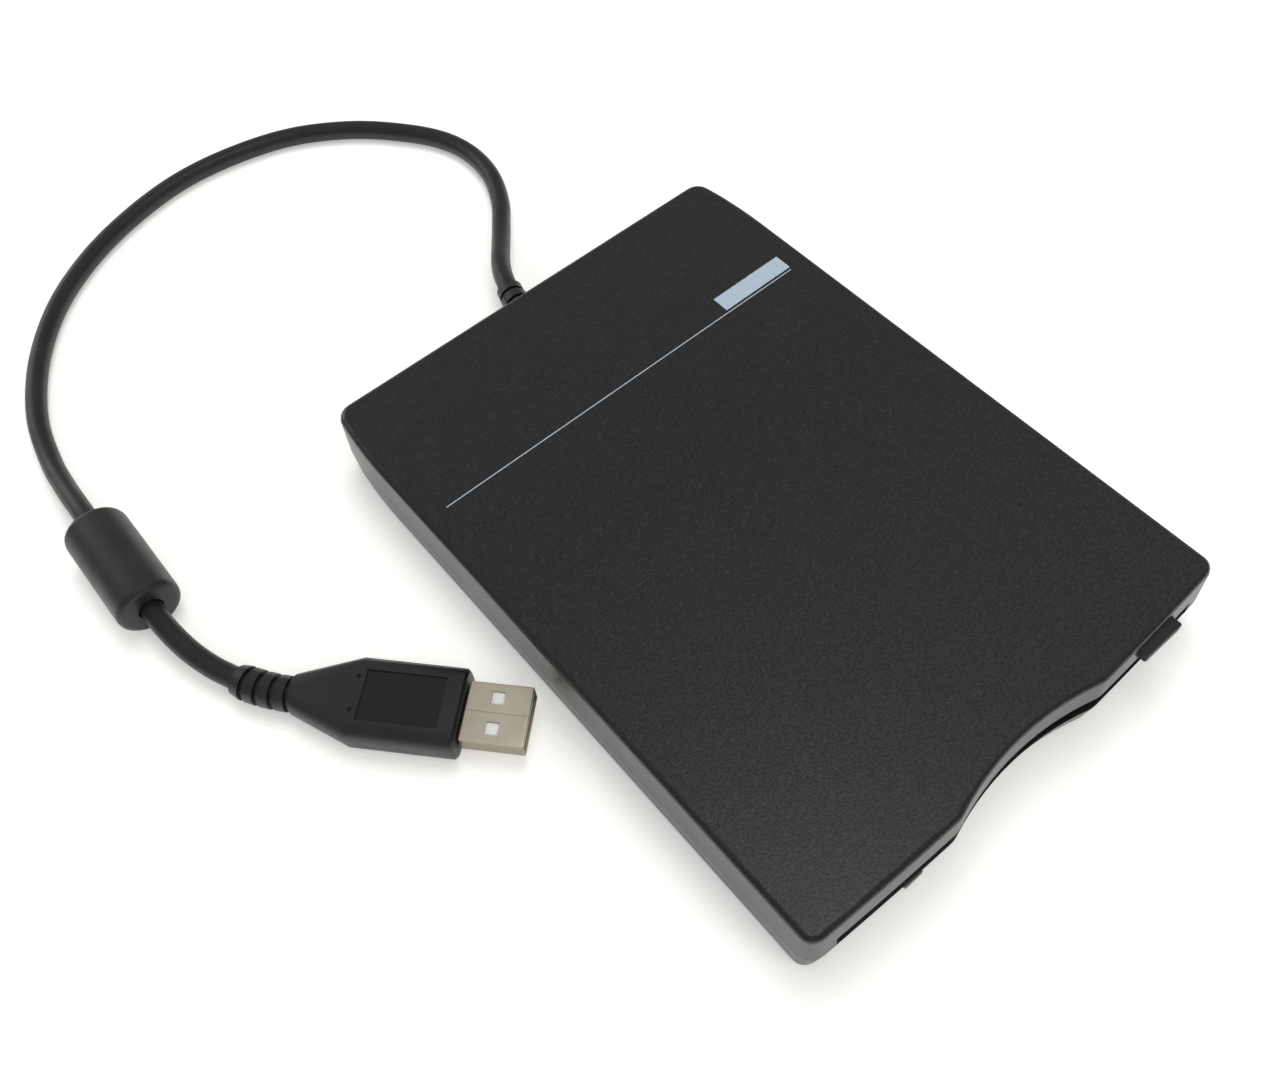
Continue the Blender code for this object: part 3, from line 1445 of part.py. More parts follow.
# Cord route, chosen by hand: x, y and height above the table, in millimetres
cord_route = (
    (2.35, 84.2, 7.9), (3.9, 87.9, 7.4), (6.4, 92.2, 6.3), (10.0, 97.3, 4.7), (15.2, 104.5, 3.0),
    (20.7, 112.5, 2.35), (24.6, 121.9, 2.35), (25.5, 131.9, 2.35), (23.2, 141.2, 2.35), (17.2, 150.9, 2.35),
    (7.8, 161.2, 2.35), (-5.2, 169.8, 2.35), (-20.0, 174.2, 2.35), (-35.5, 175.2, 2.35),
    (-51.0, 172.1, 2.35), (-65.7, 166.0, 2.35), (-79.0, 156.6, 2.35), (-89.9, 143.6, 2.35),
    (-97.4, 128.7, 2.35), (-100.6, 114.4, 2.7), (-101.2, 103.6, 4.4), (-101.2, 96.0, 6.0),
)
cord_route_end = (
    (-101.05, 58.0, 6.0), (-100.1, 51.5, 5.1), (-98.4, 45.6, 4.5),
)
cord_step = 1.25 * cord_radius * 2
cord_lead = 1.5 * mm


def cord_points():
    # The route with its two ends: out of the strain relief, then through the ferrite
    # sleeve to the plug's own strain relief
    aside, ahead = bend_end(relief_reach, relief_bend)
    out = Vector((math.sin(relief_bend), math.cos(relief_bend), 0.0))
    start = Vector((cord_exit_x + aside, rear_y + seat_gap + ahead, parting_z)) + out * gap
    aside, ahead = bend_end(plug_relief_length, plug_bend)
    heading = plug_turn - plug_bend
    along = Vector((math.cos(heading), math.sin(heading), 0.0))
    tip = Vector((-ahead, aside, 0.0))
    tip.rotate(Euler((0.0, 0.0, plug_turn)))
    end = Vector((plug_x, plug_y, plug_z)) + tip - along * gap
    points = [start] + [Vector(point) * mm for point in cord_route]
    half = ferrite_length / 2
    for share in (1.1, 0.5, 0.0, -0.5, -1.1):
        points.append(Vector((ferrite_x, ferrite_y + half * share, ferrite_z)))
    points += [Vector(point) * mm for point in cord_route_end]
    return points + [end - along * cord_lead, end]


def smooth_line(points, spacing):
    # Even steps along a curve that passes through every point
    dense = []
    steps = 24
    for i in range(len(points) - 1):
        before = points[max(i - 1, 0)]
        start = points[i]
        end = points[i + 1]
        after = points[min(i + 2, len(points) - 1)]
        span = (end - start).length
        left = (end - before).normalized() * span
        right = (after - start).normalized() * span
        for k in range(steps):
            t = k / steps
            dense.append(start * (2 * t ** 3 - 3 * t ** 2 + 1) + left * (t ** 3 - 2 * t ** 2 + t)
                         + end * (3 * t ** 2 - 2 * t ** 3) + right * (t ** 3 - t ** 2))
    dense.append(points[-1])
    runs = [0.0]
    for a, b in zip(dense, dense[1:]):
        runs.append(runs[-1] + (b - a).length)
    count = max(2, round(runs[-1] / spacing))
    line = []
    k = 0
    for i in range(count + 1):
        want = runs[-1] * i / count
        while k < len(runs) - 2 and runs[k + 1] < want:
            k += 1
        step = runs[k + 1] - runs[k]
        line.append(dense[k].lerp(dense[k + 1], (want - runs[k]) / step if step else 0.0))
    return line, runs[-1]


def cord():
    ends = cord_points()
    line, length = smooth_line(ends, cord_step)
    spare = cord_lead + cord_radius
    inner = [p for p in line if (p - ends[0]).length > spare and (p - ends[-1]).length > spare]
    points = ends[:2] + inner + ends[-2:]
    print("cord length in mm", round(length / mm, 1), "points", len(points))
    curve = bpy.data.curves.new("cord", "CURVE")
    curve.dimensions = "3D"
    curve.bevel_depth = cord_radius
    curve.bevel_resolution = 3
    curve.use_fill_caps = True
    line = curve.splines.new("POLY")
    line.points.add(len(points) - 1)
    for point, place_at in zip(line.points, points):
        point.co = (*place_at, 1.0)
    obj = bpy.data.objects.new("cord", curve)
    parts.objects.link(obj)
    curve.materials.append(cord_sheath())
    return obj


def ferrite_sleeve():
    bore = cord_radius + gap
    half = ferrite_length / 2
    centre = (ferrite_radius - ferrite_edge, half - ferrite_edge)
    shoulder = arc(centre, ferrite_edge, math.pi / 2, 0.0, 3)
    profile = [(bore, half)] + shoulder
    profile += [(radius, -height) for radius, height in reversed(shoulder)] + [(bore, -half)]
    piece = turned("ferrite_sleeve", profile, closed=True)
    aim(piece, (ferrite_x, ferrite_y, ferrite_z), (0.0, 1.0, 0.0))
    return finish(piece, cord_sheath())


def rounded_section(along, half_wide, half_high, radius):
    # A rounded rectangle across the plug, at one place along it
    points = []
    corners = ((1, 1, 0.0), (-1, 1, math.pi / 2), (-1, -1, math.pi), (1, -1, math.pi * 3 / 2))
    for side, rise, start in corners:
        centre = (side * (half_wide - radius), rise * (half_high - radius))
        for y, z in arc(centre, radius, start, start + math.pi / 2, 3):
            points.append((along, y, z))
    return points


def plug_empty():
    empty = bpy.data.objects.new("plug_place", None)
    parts.objects.link(empty)
    empty.location = (plug_x, plug_y, plug_z)
    empty.rotation_euler = (0.0, 0.0, plug_turn)
    return empty


def plug_overmould():
    root = rounded_section(0.0, plug_root_half, plug_root_half, plug_corner)
    shoulder = rounded_section(plug_taper, plug_half_width, plug_half_height, plug_corner)
    body = rounded_section(plug_length - plug_edge, plug_half_width, plug_half_height, plug_corner)
    face = rounded_section(plug_length, plug_half_width - plug_edge, plug_half_height - plug_edge,
                           plug_corner - plug_edge)
    shape = loft("plug_overmould", [root, shoulder, body, face])
    pitch = plug_relief_length / plug_rib_count
    groove = pitch / 3
    profile = [(0.0, plug_relief_length), (plug_core_radius + gap, plug_relief_length)]
    for i in reversed(range(plug_rib_count)):
        low = pitch * i
        profile += [(plug_rib_radius, low + pitch), (plug_rib_radius, low + groove),
                    (plug_core_radius, low + groove), (plug_core_radius, low)]
    profile.pop(2)
    profile += [(plug_core_radius, -overrun), (0.0, -overrun)]
    tail = frozen(turned("plug_ribs", profile, group=cutters, sides=small_sides), "plug_ribs", cutters)
    bent(tail, 0.0, plug_relief_length, plug_bend)
    tail.rotation_euler = (-math.pi / 2, 0.0, math.pi / 2)
    join(shape, tail)
    recess_depth = plug_edge * 0.7
    top = plug_half_height
    panel = [((plug_taper + 3 * plug_edge, -plug_panel_half, top - recess_depth),
              (plug_length - 7 * plug_edge, plug_panel_half, top + overrun))]
    cut(shape, boxes("plug_panel", panel, cutters))
    dots = []
    for side in (-1, 1):
        y = side * plug_dot_offset
        x = plug_taper + plug_edge / 2
        dots.append(((x, y, top - recess_depth), (x, y, top + overrun)))
    cut(shape, rods("plug_dots", dots, plug_edge, cutters, small_sides))
    return shape


plug_panel_half = 5.1 * mm
plug_dot_offset = 3.4 * mm


def plug_shell():
    start = plug_length + gap
    end = plug_length + shell_length
    wide = shell_width / 2
    high = shell_height / 2
    shape = boxes("plug_shell", [((start, -wide, -high), (end, wide, high))])
    soften = shape.modifiers.new("soften", "BEVEL")
    soften.width = shell_sheet
    soften.segments = 2
    inner = [((start + shell_sheet, -wide + shell_sheet, -high + shell_sheet),
              (end + overrun, wide - shell_sheet, high - shell_sheet))]
    cut(shape, boxes("shell_bore", inner, cutters))
    holes = []
    centre = plug_length + shell_hole_reach
    for side in (-1, 1):
        y = side * shell_hole_offset
        holes.append(((centre - shell_hole / 2, y - shell_hole / 2, -high - overrun),
                      (centre + shell_hole / 2, y + shell_hole / 2, high + overrun)))
    cut(shape, boxes("shell_holes", holes, cutters))
    seam = [((start - overrun, -shell_seam_half, high - shell_sheet / 2),
             (end + overrun, shell_seam_half, high + overrun))]
    return cut(shape, boxes("shell_seam", seam, cutters))


def plug_tongue():
    start = plug_length + gap + shell_sheet + seat_gap
    end = plug_length + shell_length - gap
    wide = shell_width / 2 - shell_sheet - seat_gap
    high = shell_height / 2 - shell_sheet - seat_gap
    return boxes("plug_tongue", [((start, -wide, high - tongue_height), (end, wide, high))])


def plug_contacts():
    high = shell_height / 2 - shell_sheet - tongue_height - 2 * seat_gap
    end = plug_length + shell_length - 3 * gap
    contacts = []
    for i, share in enumerate(contact_shares):
        y = contact_span * share
        half = contact_width / 2
        blade = [((end - contact_length, y - half, high - contact_thick), (end, y + half, high))]
        contacts.append(boxes(f"plug_contact_{i + 1}", blade))
    return contacts


def plug():
    empty = plug_empty()
    pieces = [(plug_overmould(), cord_sheath()), (plug_shell(), nickel_sheet())]
    pieces += [(plug_tongue(), white_nylon())]
    pieces += [(contact, gilt_contact()) for contact in plug_contacts()]
    bpy.context.view_layer.update()
    for piece, look in pieces:
        made = frozen(piece, piece.name, parts)
        made.parent = empty
        finish(made, look)


top_cover()
bottom_cover()
feet()
case_screws()
chassis_screws()
chassis()
slide_plate()
disk_carrier()
shutter_lever()
slot_door()
eject_button()
spindle_rotor()
drive_pin()
spindle_bearing()
spindle_stator()
main_board()
drive_chip()
sensing_switch("write_protect_switch", -switch_x)
sensing_switch("density_switch", switch_x)
head_carriage()
upper_head_arm()
heads()
guide_rod()
lead_screw()
stepper_motor()
stepper_bracket()
usb_board()
bridge_chip()
crystal_can()
board_capacitor()
cord_connector()
cord_inner()
flat_cable()
lamp_lens()
access_lamp()
lamp_board()
strain_relief()
cord()
ferrite_sleeve()
plug()
print("case in mm:", round(2 * half_width / mm, 2), round(corner_to_rear / mm, 2), round(case_top / mm, 2))
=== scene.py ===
import math

import bpy
from mathutils import Matrix, Vector


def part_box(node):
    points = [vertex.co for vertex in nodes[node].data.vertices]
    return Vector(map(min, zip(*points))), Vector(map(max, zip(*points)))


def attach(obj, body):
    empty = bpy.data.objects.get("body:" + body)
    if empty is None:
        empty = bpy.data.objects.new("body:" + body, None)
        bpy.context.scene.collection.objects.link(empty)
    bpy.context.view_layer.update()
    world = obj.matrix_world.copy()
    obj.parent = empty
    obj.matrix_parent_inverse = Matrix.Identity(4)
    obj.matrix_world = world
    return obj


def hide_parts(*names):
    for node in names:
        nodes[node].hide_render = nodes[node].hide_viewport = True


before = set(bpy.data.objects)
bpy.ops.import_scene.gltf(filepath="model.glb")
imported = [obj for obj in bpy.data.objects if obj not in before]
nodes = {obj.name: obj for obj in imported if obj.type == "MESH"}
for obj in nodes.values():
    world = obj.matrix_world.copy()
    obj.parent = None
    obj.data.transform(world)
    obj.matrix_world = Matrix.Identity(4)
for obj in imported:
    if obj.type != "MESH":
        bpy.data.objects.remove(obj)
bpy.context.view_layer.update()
mm = 0.001   # the frame is in metres


# Small helpers

def linearFromHex(code):
    # sRGB hex to the linear colour that the shader takes
    values = []
    for i in (1, 3, 5):
        c = int(code[i:i + 2], 16) / 255
        values.append(c / 12.92 if c <= 0.04045 else ((c + 0.055) / 1.055) ** 2.4)
    return (*values, 1.0)


def addNode(tree, kind, settings=None, links=None):
    # One node, with its settings by property or socket and its incoming links. Hex colours are turned
    # to linear, and a link from a whole node comes from its first output.
    # By number: a Mix has its factor at 0, its colours at 6 and 7 and its mixed colour at output 2,
    # and a Map Range has its value at 0 and its from and to ranges at 1 to 4.
    node = tree.nodes.new(kind)
    for key, value in (settings or {}).items():
        if isinstance(value, str) and value.startswith("#"):
            value = linearFromHex(value)
        if isinstance(key, str) and hasattr(node, key):
            setattr(node, key, value)
        else:
            node.inputs[key].default_value = value
    for key, source in (links or {}).items():
        socket = source if isinstance(source, bpy.types.NodeSocket) else source.outputs[0]
        tree.links.new(socket, node.inputs[key])
    return node


def newMaterial(name, settings):
    # A Principled material with its plain values set on the shader's own sockets
    material = bpy.data.materials.new(name)
    material.use_nodes = True
    tree = material.node_tree
    shader = tree.nodes["Principled BSDF"]
    for key, value in settings.items():
        shader.inputs[key].default_value = value
    coords = tree.nodes.new("ShaderNodeTexCoord").outputs["Object"]
    return material, tree, shader, coords


def perMetre(sizeMm):
    # Texture scale for a pattern whose grain is sizeMm across
    return 1000.0 / sizeMm


def grainBump(tree, shader, coords, sizeMm, depthMm, strength, detail=3.0):
    # Fine relief from a noise of one grain size
    grain = addNode(tree, "ShaderNodeTexNoise",
                    {"Scale": perMetre(sizeMm), "Detail": detail, "Roughness": 0.6}, {"Vector": coords})
    bump = addNode(tree, "ShaderNodeBump", {"Strength": strength, "Distance": depthMm * mm},
                   {"Height": grain})
    tree.links.new(bump.outputs[0], shader.inputs["Normal"])
    return grain, bump


def patches(tree, coords, sizeMm, low, high, detail=4.0):
    # A slow mottle, from low to high
    noise = addNode(tree, "ShaderNodeTexNoise", {"Scale": perMetre(sizeMm), "Detail": detail},
                    {"Vector": coords})
    return addNode(tree, "ShaderNodeMapRange", {1: 0.3, 2: 0.7, 3: low, 4: high}, {0: noise}).outputs[0]


def twoTones(tree, coords, sizeMm, first, second, detail=4.0):
    # Two close colours in patches
    tone = patches(tree, coords, sizeMm, 0.0, 1.0, detail)
    return addNode(tree, "ShaderNodeMix", {"data_type": "RGBA", 6: first, 7: second}, {0: tone}).outputs[2]


def linedSurface(tree, shader, lines, look):
    # Lines left by drawing or rolling, in the sheen and as a fine relief
    bright, dull = look["sheen"]
    rough = addNode(tree, "ShaderNodeMapRange", {1: 0.3, 2: 0.7, 3: bright, 4: dull}, {0: lines})
    tree.links.new(rough.outputs[0], shader.inputs["Roughness"])
    bump = addNode(tree, "ShaderNodeBump", {"Strength": look["strength"], "Distance": look["depth"] * mm},
                   {"Height": lines})
    tree.links.new(bump.outputs[0], shader.inputs["Normal"])


def uprightness(tree, normal):
    # 1 where a surface faces straight up or down, 0 on its walls
    geometry = tree.nodes.new("ShaderNodeNewGeometry")
    slope = addNode(tree, "ShaderNodeSeparateXYZ", links={0: geometry.outputs[normal]})
    return addNode(tree, "ShaderNodeMath", {"operation": "ABSOLUTE"}, {0: slope.outputs[2]})


def edgeMask(tree, low, high):
    # 1 on the rounded edges between a face and its walls, from the surface's own slope
    softLow, softHigh = 0.15, 0.04
    upright = uprightness(tree, "Normal")
    rise = addNode(tree, "ShaderNodeMapRange", {1: low, 2: low + softLow, 3: 0.0, 4: 1.0}, {0: upright})
    fall = addNode(tree, "ShaderNodeMapRange", {1: high - softHigh, 2: high, 3: 1.0, 4: 0.0}, {0: upright})
    return addNode(tree, "ShaderNodeMath", {"operation": "MULTIPLY"}, {0: rise, 1: fall})


# Camera, as in the photograph

cameraLook = {
    "place": (-0.09243, -0.08847, 0.20789),
    "right": (0.76092296, -0.64734988, -0.04398155),
    "up": (0.56830599, 0.63223358, 0.52660138),
    "view": (0.31308873, 0.42569806, -0.84897386),
    "lens": 33.24,
    "sensor": 36.0,
    "clip": (0.01, 20.0),
}


def makeCamera():
    data = bpy.data.cameras.new("camera")
    data.lens = cameraLook["lens"]
    data.sensor_width = cameraLook["sensor"]
    data.clip_start, data.clip_end = cameraLook["clip"]
    camera = bpy.data.objects.new("camera", data)
    bpy.context.scene.collection.objects.link(camera)
    right = Vector(cameraLook["right"])
    up = Vector(cameraLook["up"])
    back = -Vector(cameraLook["view"])
    turn = Matrix((right, up, back)).transposed().to_4x4()
    camera.matrix_world = Matrix.Translation(Vector(cameraLook["place"])) @ turn
    bpy.context.scene.camera = camera


makeCamera()
print("camera placed")


# Materials of the case

caseLook = {
    "colour": "#131313",
    # Each tone, the values that its mask goes between, and the tone's shares there
    "tones": {
        "painted_front_sheen": ("#20201d", 10.0 * mm, -68.0 * mm, 0.0, 0.8),   # painted sheen: lighter towards the front, where the lid mirrors the overhead light
        "mottled": ("#1c1c1a", 0.0, 1.0, 0.0, 0.15),               # in slow patches
        "dust": ("#4a4944", 0.54, 0.76, 0.0, 0.22),                # in fine specks
        "edge": ("#0b0b0a", 0.0, 1.0, 0.0, 0.6),                   # painted shade along the rounded edges, for the dark surroundings that they mirror
        "hollow_shade": ("#030303", 0.38, 0.54, 0.85, 0.0),              # painted shade in the grain's hollows
    },
    "mottle": 9.0,
    "speck": 1.0,
    "edgeSlope": (0.2, 0.985),   # between a wall, 0, and the flat of the lid, 1
    "sheen": (0.35, 0.3),
    "edgePolish": -0.08,         # off the roughness along the rounded edges
    "grain": 0.5,                # spark-eroded grain is about 0.1 mm: drawn coarser, or no pixel shows it
    "relief": (0.06, 0.7),       # the grain's depth and strength
}


def mouldedAbs():
    # ABS, injection moulded in a spark-eroded tool: a fine even grain that breaks up the sheen,
    # polished by hands along the rounded edges
    look = caseLook
    material, tree, shader, coords = newMaterial("moulded_abs", {"IOR": 1.54})
    place = addNode(tree, "ShaderNodeSeparateXYZ", links={0: coords})
    mottle = patches(tree, coords, look["mottle"], 0.0, 1.0)
    specks = addNode(tree, "ShaderNodeTexNoise",
                     {"Scale": perMetre(look["speck"]), "Detail": 3.0, "Roughness": 0.7}, {"Vector": coords})
    edge = edgeMask(tree, *look["edgeSlope"])
    grain = grainBump(tree, shader, coords, look["grain"], *look["relief"], detail=2.0)[0]
    masks = {"painted_front_sheen": place.outputs[1], "mottled": mottle, "dust": specks, "edge": edge, "hollow_shade": grain}
    body = addNode(tree, "ShaderNodeRGB").outputs[0]
    body.default_value = linearFromHex(look["colour"])
    # The tones paint light into the colour: a painted sheen towards the front, and painted shade along the
    # rounded edges and in the grain's hollows
    for name, (tone, *span) in look["tones"].items():
        mask = addNode(tree, "ShaderNodeMapRange", dict(enumerate(span, 1)), {0: masks[name]})
        body = addNode(tree, "ShaderNodeMix", {"data_type": "RGBA", 7: tone}, {0: mask, 6: body}).outputs[2]
    tree.links.new(body, shader.inputs["Base Color"])
    dull, bright = look["sheen"]
    rough = addNode(tree, "ShaderNodeMapRange", {1: 0.0, 2: 1.0, 3: dull, 4: bright}, {0: mottle})
    polished = addNode(tree, "ShaderNodeMath", {"operation": "MULTIPLY_ADD", 1: look["edgePolish"]},
                       {0: edge, 2: rough})
    tree.links.new(polished.outputs[0], shader.inputs["Roughness"])
    return material


# Plain finishes: two close tones in patches, an uneven sheen and a fine relief.
# Tones give their size in mm and two colours, and speckled ones their detail. Sheen gives its size
# and two roughnesses, and relief its size, its depth and its strength. The grain of a blasted tool
# or a turned face is under 0.1 mm: it is drawn coarser, or no pixel shows it.

plainLooks = {
    # ABS from a fine-blasted tool: a closer, slightly softer sheen than the case
    "satin_abs": {"shader": {"IOR": 1.54}, "tones": (6.0, "#141415", "#1d1d1d"),
                  "sheen": (3.0, 0.42, 0.55), "relief": (0.3, 0.02, 0.25)},
    # Thermoplastic rubber feet: dead matt, with a dusty bloom
    "moulded_rubber": {"shader": {"IOR": 1.5, "Specular IOR Level": 0.3},
                       "tones": (1.2, "#171717", "#2b2a28"),
                       "sheen": (0.8, 0.75, 0.95), "relief": (0.25, 0.03, 0.4)},
    # PVC moulded over the ferrite and the cord's exit: satin, with a fine blasted grain
    "moulded_pvc": {"shader": {"IOR": 1.53}, "tones": (7.0, "#161616", "#20201e"),
                    "sheen": (4.0, 0.36, 0.46), "relief": (0.28, 0.02, 0.3)},
    # Steel turned on a lathe: bright, with a slightly uneven gloss
    "turned_steel": {"shader": {"Metallic": 1.0}, "tones": (2.5, "#bfbfbe", "#a3a4a5"),
                     "sheen": (0.6, 0.18, 0.34), "relief": (0.2, 0.01, 0.15)},
    # Black-zinc screws: dark, and paler in patches where the driver has rubbed
    "black_zinc_steel": {"shader": {"Metallic": 1.0}, "tones": (0.9, "#3c3c40", "#5a5a5e"),
                         "sheen": (0.7, 0.28, 0.45), "relief": (0.2, 0.01, 0.2)},
    # A flash of gold over nickel on the contacts: warm and bright, with duller patches
    "gold_flashed_contact": {"shader": {"Metallic": 1.0}, "tones": (1.5, "#e3b95e", "#cf9f45"),
                             "sheen": (0.8, 0.18, 0.32), "relief": (0.2, 0.005, 0.1)},
    # Nylon tongue and connector: milky white, a little light passing through
    "moulded_nylon": {"shader": {"IOR": 1.53, "Subsurface Weight": 0.08},
                      "tones": (3.0, "#efede6", "#e4e1d8"),
                      "sheen": (1.5, 0.35, 0.5), "relief": (0.25, 0.01, 0.15)},
    # Epoxy chip bodies: near black, matt, faintly speckled with filler
    "moulded_epoxy": {"shader": {"IOR": 1.55}, "tones": (0.5, "#161618", "#26262a", 8.0),
                      "sheen": (0.8, 0.5, 0.68), "relief": (0.2, 0.01, 0.3)},
    # Ceramic heads, lapped flat: cream and smooth
    "lapped_ceramic": {"shader": {"IOR": 1.6}, "tones": (1.2, "#cfc8b4", "#bfb7a2"),
                       "sheen": (0.8, 0.15, 0.28), "relief": (0.2, 0.005, 0.1)},
    # Smoked acrylic lens, unlit: a glossy grey with a touch of green
    "smoked_acrylic": {"shader": {"IOR": 1.49, "Coat Weight": 0.3}, "tones": (1.5, "#454841", "#565952"),
                       "sheen": (1.0, 0.08, 0.18), "relief": (0.5, 0.004, 0.08)},
    # Glass-filled resin carriage: grey-black, finely mottled by its fibres
    "glass_filled_resin": {"shader": {"IOR": 1.58}, "tones": (1.8, "#232326", "#323235", 8.0),
                           "sheen": (1.0, 0.4, 0.58), "relief": (0.3, 0.02, 0.25)},
}


def plainFinish(name):
    look = plainLooks[name]
    material, tree, shader, coords = newMaterial(name, look["shader"])
    tree.links.new(twoTones(tree, coords, *look["tones"]), shader.inputs["Base Color"])
    tree.links.new(patches(tree, coords, *look["sheen"]), shader.inputs["Roughness"])
    grainBump(tree, shader, coords, *look["relief"])
    return material


# Cord and plug finishes

cordLook = {
    "diameter": 4.6,
    "tones": (9.0, "#0c0c0c", "#191916"),
    "sheen": (5.0, 0.38, 0.48),
    "relief": (0.5, 0.02, 0.2),
    "waves": (6.0, 0.2, 0.15),    # their size, depth and strength
    "step": 1.5,                  # between two points of its line
    "roundness": 6,
}


def extrudedPvc():
    # Soft PVC, extruded over the wires: a waxy sheen and slight waves
    material, tree, shader, coords = newMaterial("extruded_pvc", {"IOR": 1.53})
    tree.links.new(twoTones(tree, coords, *cordLook["tones"]), shader.inputs["Base Color"])
    tree.links.new(patches(tree, coords, *cordLook["sheen"]), shader.inputs["Roughness"])
    bump = grainBump(tree, shader, coords, *cordLook["relief"])[1]
    size, depth, strength = cordLook["waves"]
    waves = addNode(tree, "ShaderNodeTexNoise", {"Scale": perMetre(size), "Detail": 1.0}, {"Vector": coords})
    swell = addNode(tree, "ShaderNodeBump", {"Strength": strength, "Distance": depth * mm},
                    {"Height": waves, "Normal": bump})
    tree.links.new(swell.outputs[0], shader.inputs["Normal"])
    return material


plugLook = {
    "place": (-0.0894, 0.03, 0.00425),
    "turn": math.radians(-48.3),
    "bend": math.radians(17.0),
    "ribs": 12.0,
    "tones": (7.0, "#101010", "#1a1a18"),
    "sheen": (4.0, 0.36, 0.46),
    "relief": (0.28, 0.02, 0.3),
    "panel": ((14.0, 29.5), 5.1),   # the finger panel: its two ends, and half its width
    "panelBlur": 0.25,
    "panelColour": "#050505",
    "panelPolish": -0.24,           # off the roughness there
}


def grippedPvc():
    # The plug's moulding: satin PVC with a fine blasted grain, polished darker in the finger panel
    # on both its faces
    look = plugLook
    material, tree, shader, coords = newMaterial("moulded_pvc_grip", {"IOR": 1.53})
    local = addNode(tree, "ShaderNodeMapping", {"vector_type": "TEXTURE", "Location": look["place"],
                                                "Rotation": (0.0, 0.0, look["turn"])}, {0: coords})
    place = addNode(tree, "ShaderNodeSeparateXYZ", links={0: local})
    (startX, endX), halfY = look["panel"]
    blur = look["panelBlur"] * mm
    across = addNode(tree, "ShaderNodeMath", {"operation": "ABSOLUTE"}, {0: place.outputs[1]})
    inside = addNode(tree, "ShaderNodeMapRange", {1: halfY * mm - blur, 2: halfY * mm, 3: 1.0, 4: 0.0},
                     {0: across})
    for end, side in ((startX, 1), (endX, -1)):
        limit = addNode(tree, "ShaderNodeMapRange", {1: end * mm, 2: end * mm + side * blur, 3: 0.0, 4: 1.0},
                        {0: place.outputs[0]})
        inside = addNode(tree, "ShaderNodeMath", {"operation": "MULTIPLY"}, {0: inside, 1: limit})
    body = twoTones(tree, coords, *look["tones"])
    gripped = addNode(tree, "ShaderNodeMix", {"data_type": "RGBA", 7: look["panelColour"]},
                      {0: inside, 6: body})
    tree.links.new(gripped.outputs[2], shader.inputs["Base Color"])
    rough = patches(tree, coords, *look["sheen"])
    polished = addNode(tree, "ShaderNodeMath", {"operation": "MULTIPLY_ADD", 1: look["panelPolish"]},
                       {0: inside, 2: rough})
    tree.links.new(polished.outputs[0], shader.inputs["Roughness"])
    grainBump(tree, shader, coords, *look["relief"])
    return material


nickelLook = {
    "tones": (6.0, "#eae2d0", "#dcd3bf"),
    # painted shade down the sides, which mirror the shadowed table
    "side": "#7a705f",
    "sideShadeShare": 0.8,
    "line": 0.25,                  # about 0.05 mm in truth: drawn coarser, or no pixel shows it
    "stretch": (0.05, 1.0, 1.0),   # along the plug
    "sheen": (0.28, 0.36),
    "depth": 0.01,
    "strength": 0.06,
}


def nickelPlate():
    # Nickel on drawn steel: warm silver, with fine lines from drawing, and painted shade down its sides
    look = nickelLook
    material, tree, shader, coords = newMaterial("nickel_plated_steel", {"Metallic": 1.0})
    alongPlug = addNode(tree, "ShaderNodeMapping",
                        {"vector_type": "TEXTURE", "Rotation": (0.0, 0.0, plugLook["turn"])}, {0: coords})
    drawn = addNode(tree, "ShaderNodeMapping", {"Scale": look["stretch"]}, {0: alongPlug})
    lines = addNode(tree, "ShaderNodeTexNoise", {"Scale": perMetre(look["line"]), "Detail": 2.0},
                    {"Vector": drawn})
    body = twoTones(tree, coords, *look["tones"])
    upright = uprightness(tree, "True Normal")
    # painted shade on the faces that turn sideways
    side = addNode(tree, "ShaderNodeMapRange", {1: 0.2, 2: 0.8, 3: look["sideShadeShare"], 4: 0.0}, {0: upright})
    plated = addNode(tree, "ShaderNodeMix", {"data_type": "RGBA", 7: look["side"]}, {0: side, 6: body})
    tree.links.new(plated.outputs[2], shader.inputs["Base Color"])
    linedSurface(tree, shader, lines, look)
    return material


# Finishes of the works inside

zincLook = {
    "tones": (14.0, "#c3c6c8", "#b2b6b9"),
    "streak": "#9b9fa3",
    "streakShare": 0.35,
    "line": 0.5,                   # about 0.1 mm in truth: drawn coarser, or no pixel shows it
    "stretch": (1.0, 0.08, 1.0),   # along the rolling
    "sheen": (0.3, 0.4),
    "depth": 0.01,
    "strength": 0.1,
}


def zincSheet():
    # Zinc-plated steel sheet, rolled and pressed: cool grey, with a faint grain along the rolling
    look = zincLook
    material, tree, shader, coords = newMaterial("zinc_plated_sheet", {"Metallic": 1.0})
    rolled = addNode(tree, "ShaderNodeMapping", {"Scale": look["stretch"]}, {0: coords})
    lines = addNode(tree, "ShaderNodeTexNoise", {"Scale": perMetre(look["line"]), "Detail": 3.0},
                    {"Vector": rolled})
    body = twoTones(tree, coords, *look["tones"])
    streak = addNode(tree, "ShaderNodeMapRange", {1: 0.35, 2: 0.7, 3: 0.0, 4: look["streakShare"]},
                     {0: lines})
    plated = addNode(tree, "ShaderNodeMix", {"data_type": "RGBA", 7: look["streak"]}, {0: streak, 6: body})
    tree.links.new(plated.outputs[2], shader.inputs["Base Color"])
    linedSurface(tree, shader, lines, look)
    return material


boardLook = {
    "lacquer": ("#15381f", "#183d23"),
    "copper": "#2a5a37",               # as it shows through the lacquer
    "runUnit": 10.0,
    "runs": {"Mortar Size": 0.012, "Mortar Smooth": 0.3, "Brick Width": 1.4, "Row Height": 0.09,
             "offset": 0.37},
    "patch": (8.0, 0.0, 0.5),
    "patchColour": "#1b4127",
    "sheen": (2.0, 0.22, 0.36),
    "relief": (0.6, 0.01, 0.2),
}


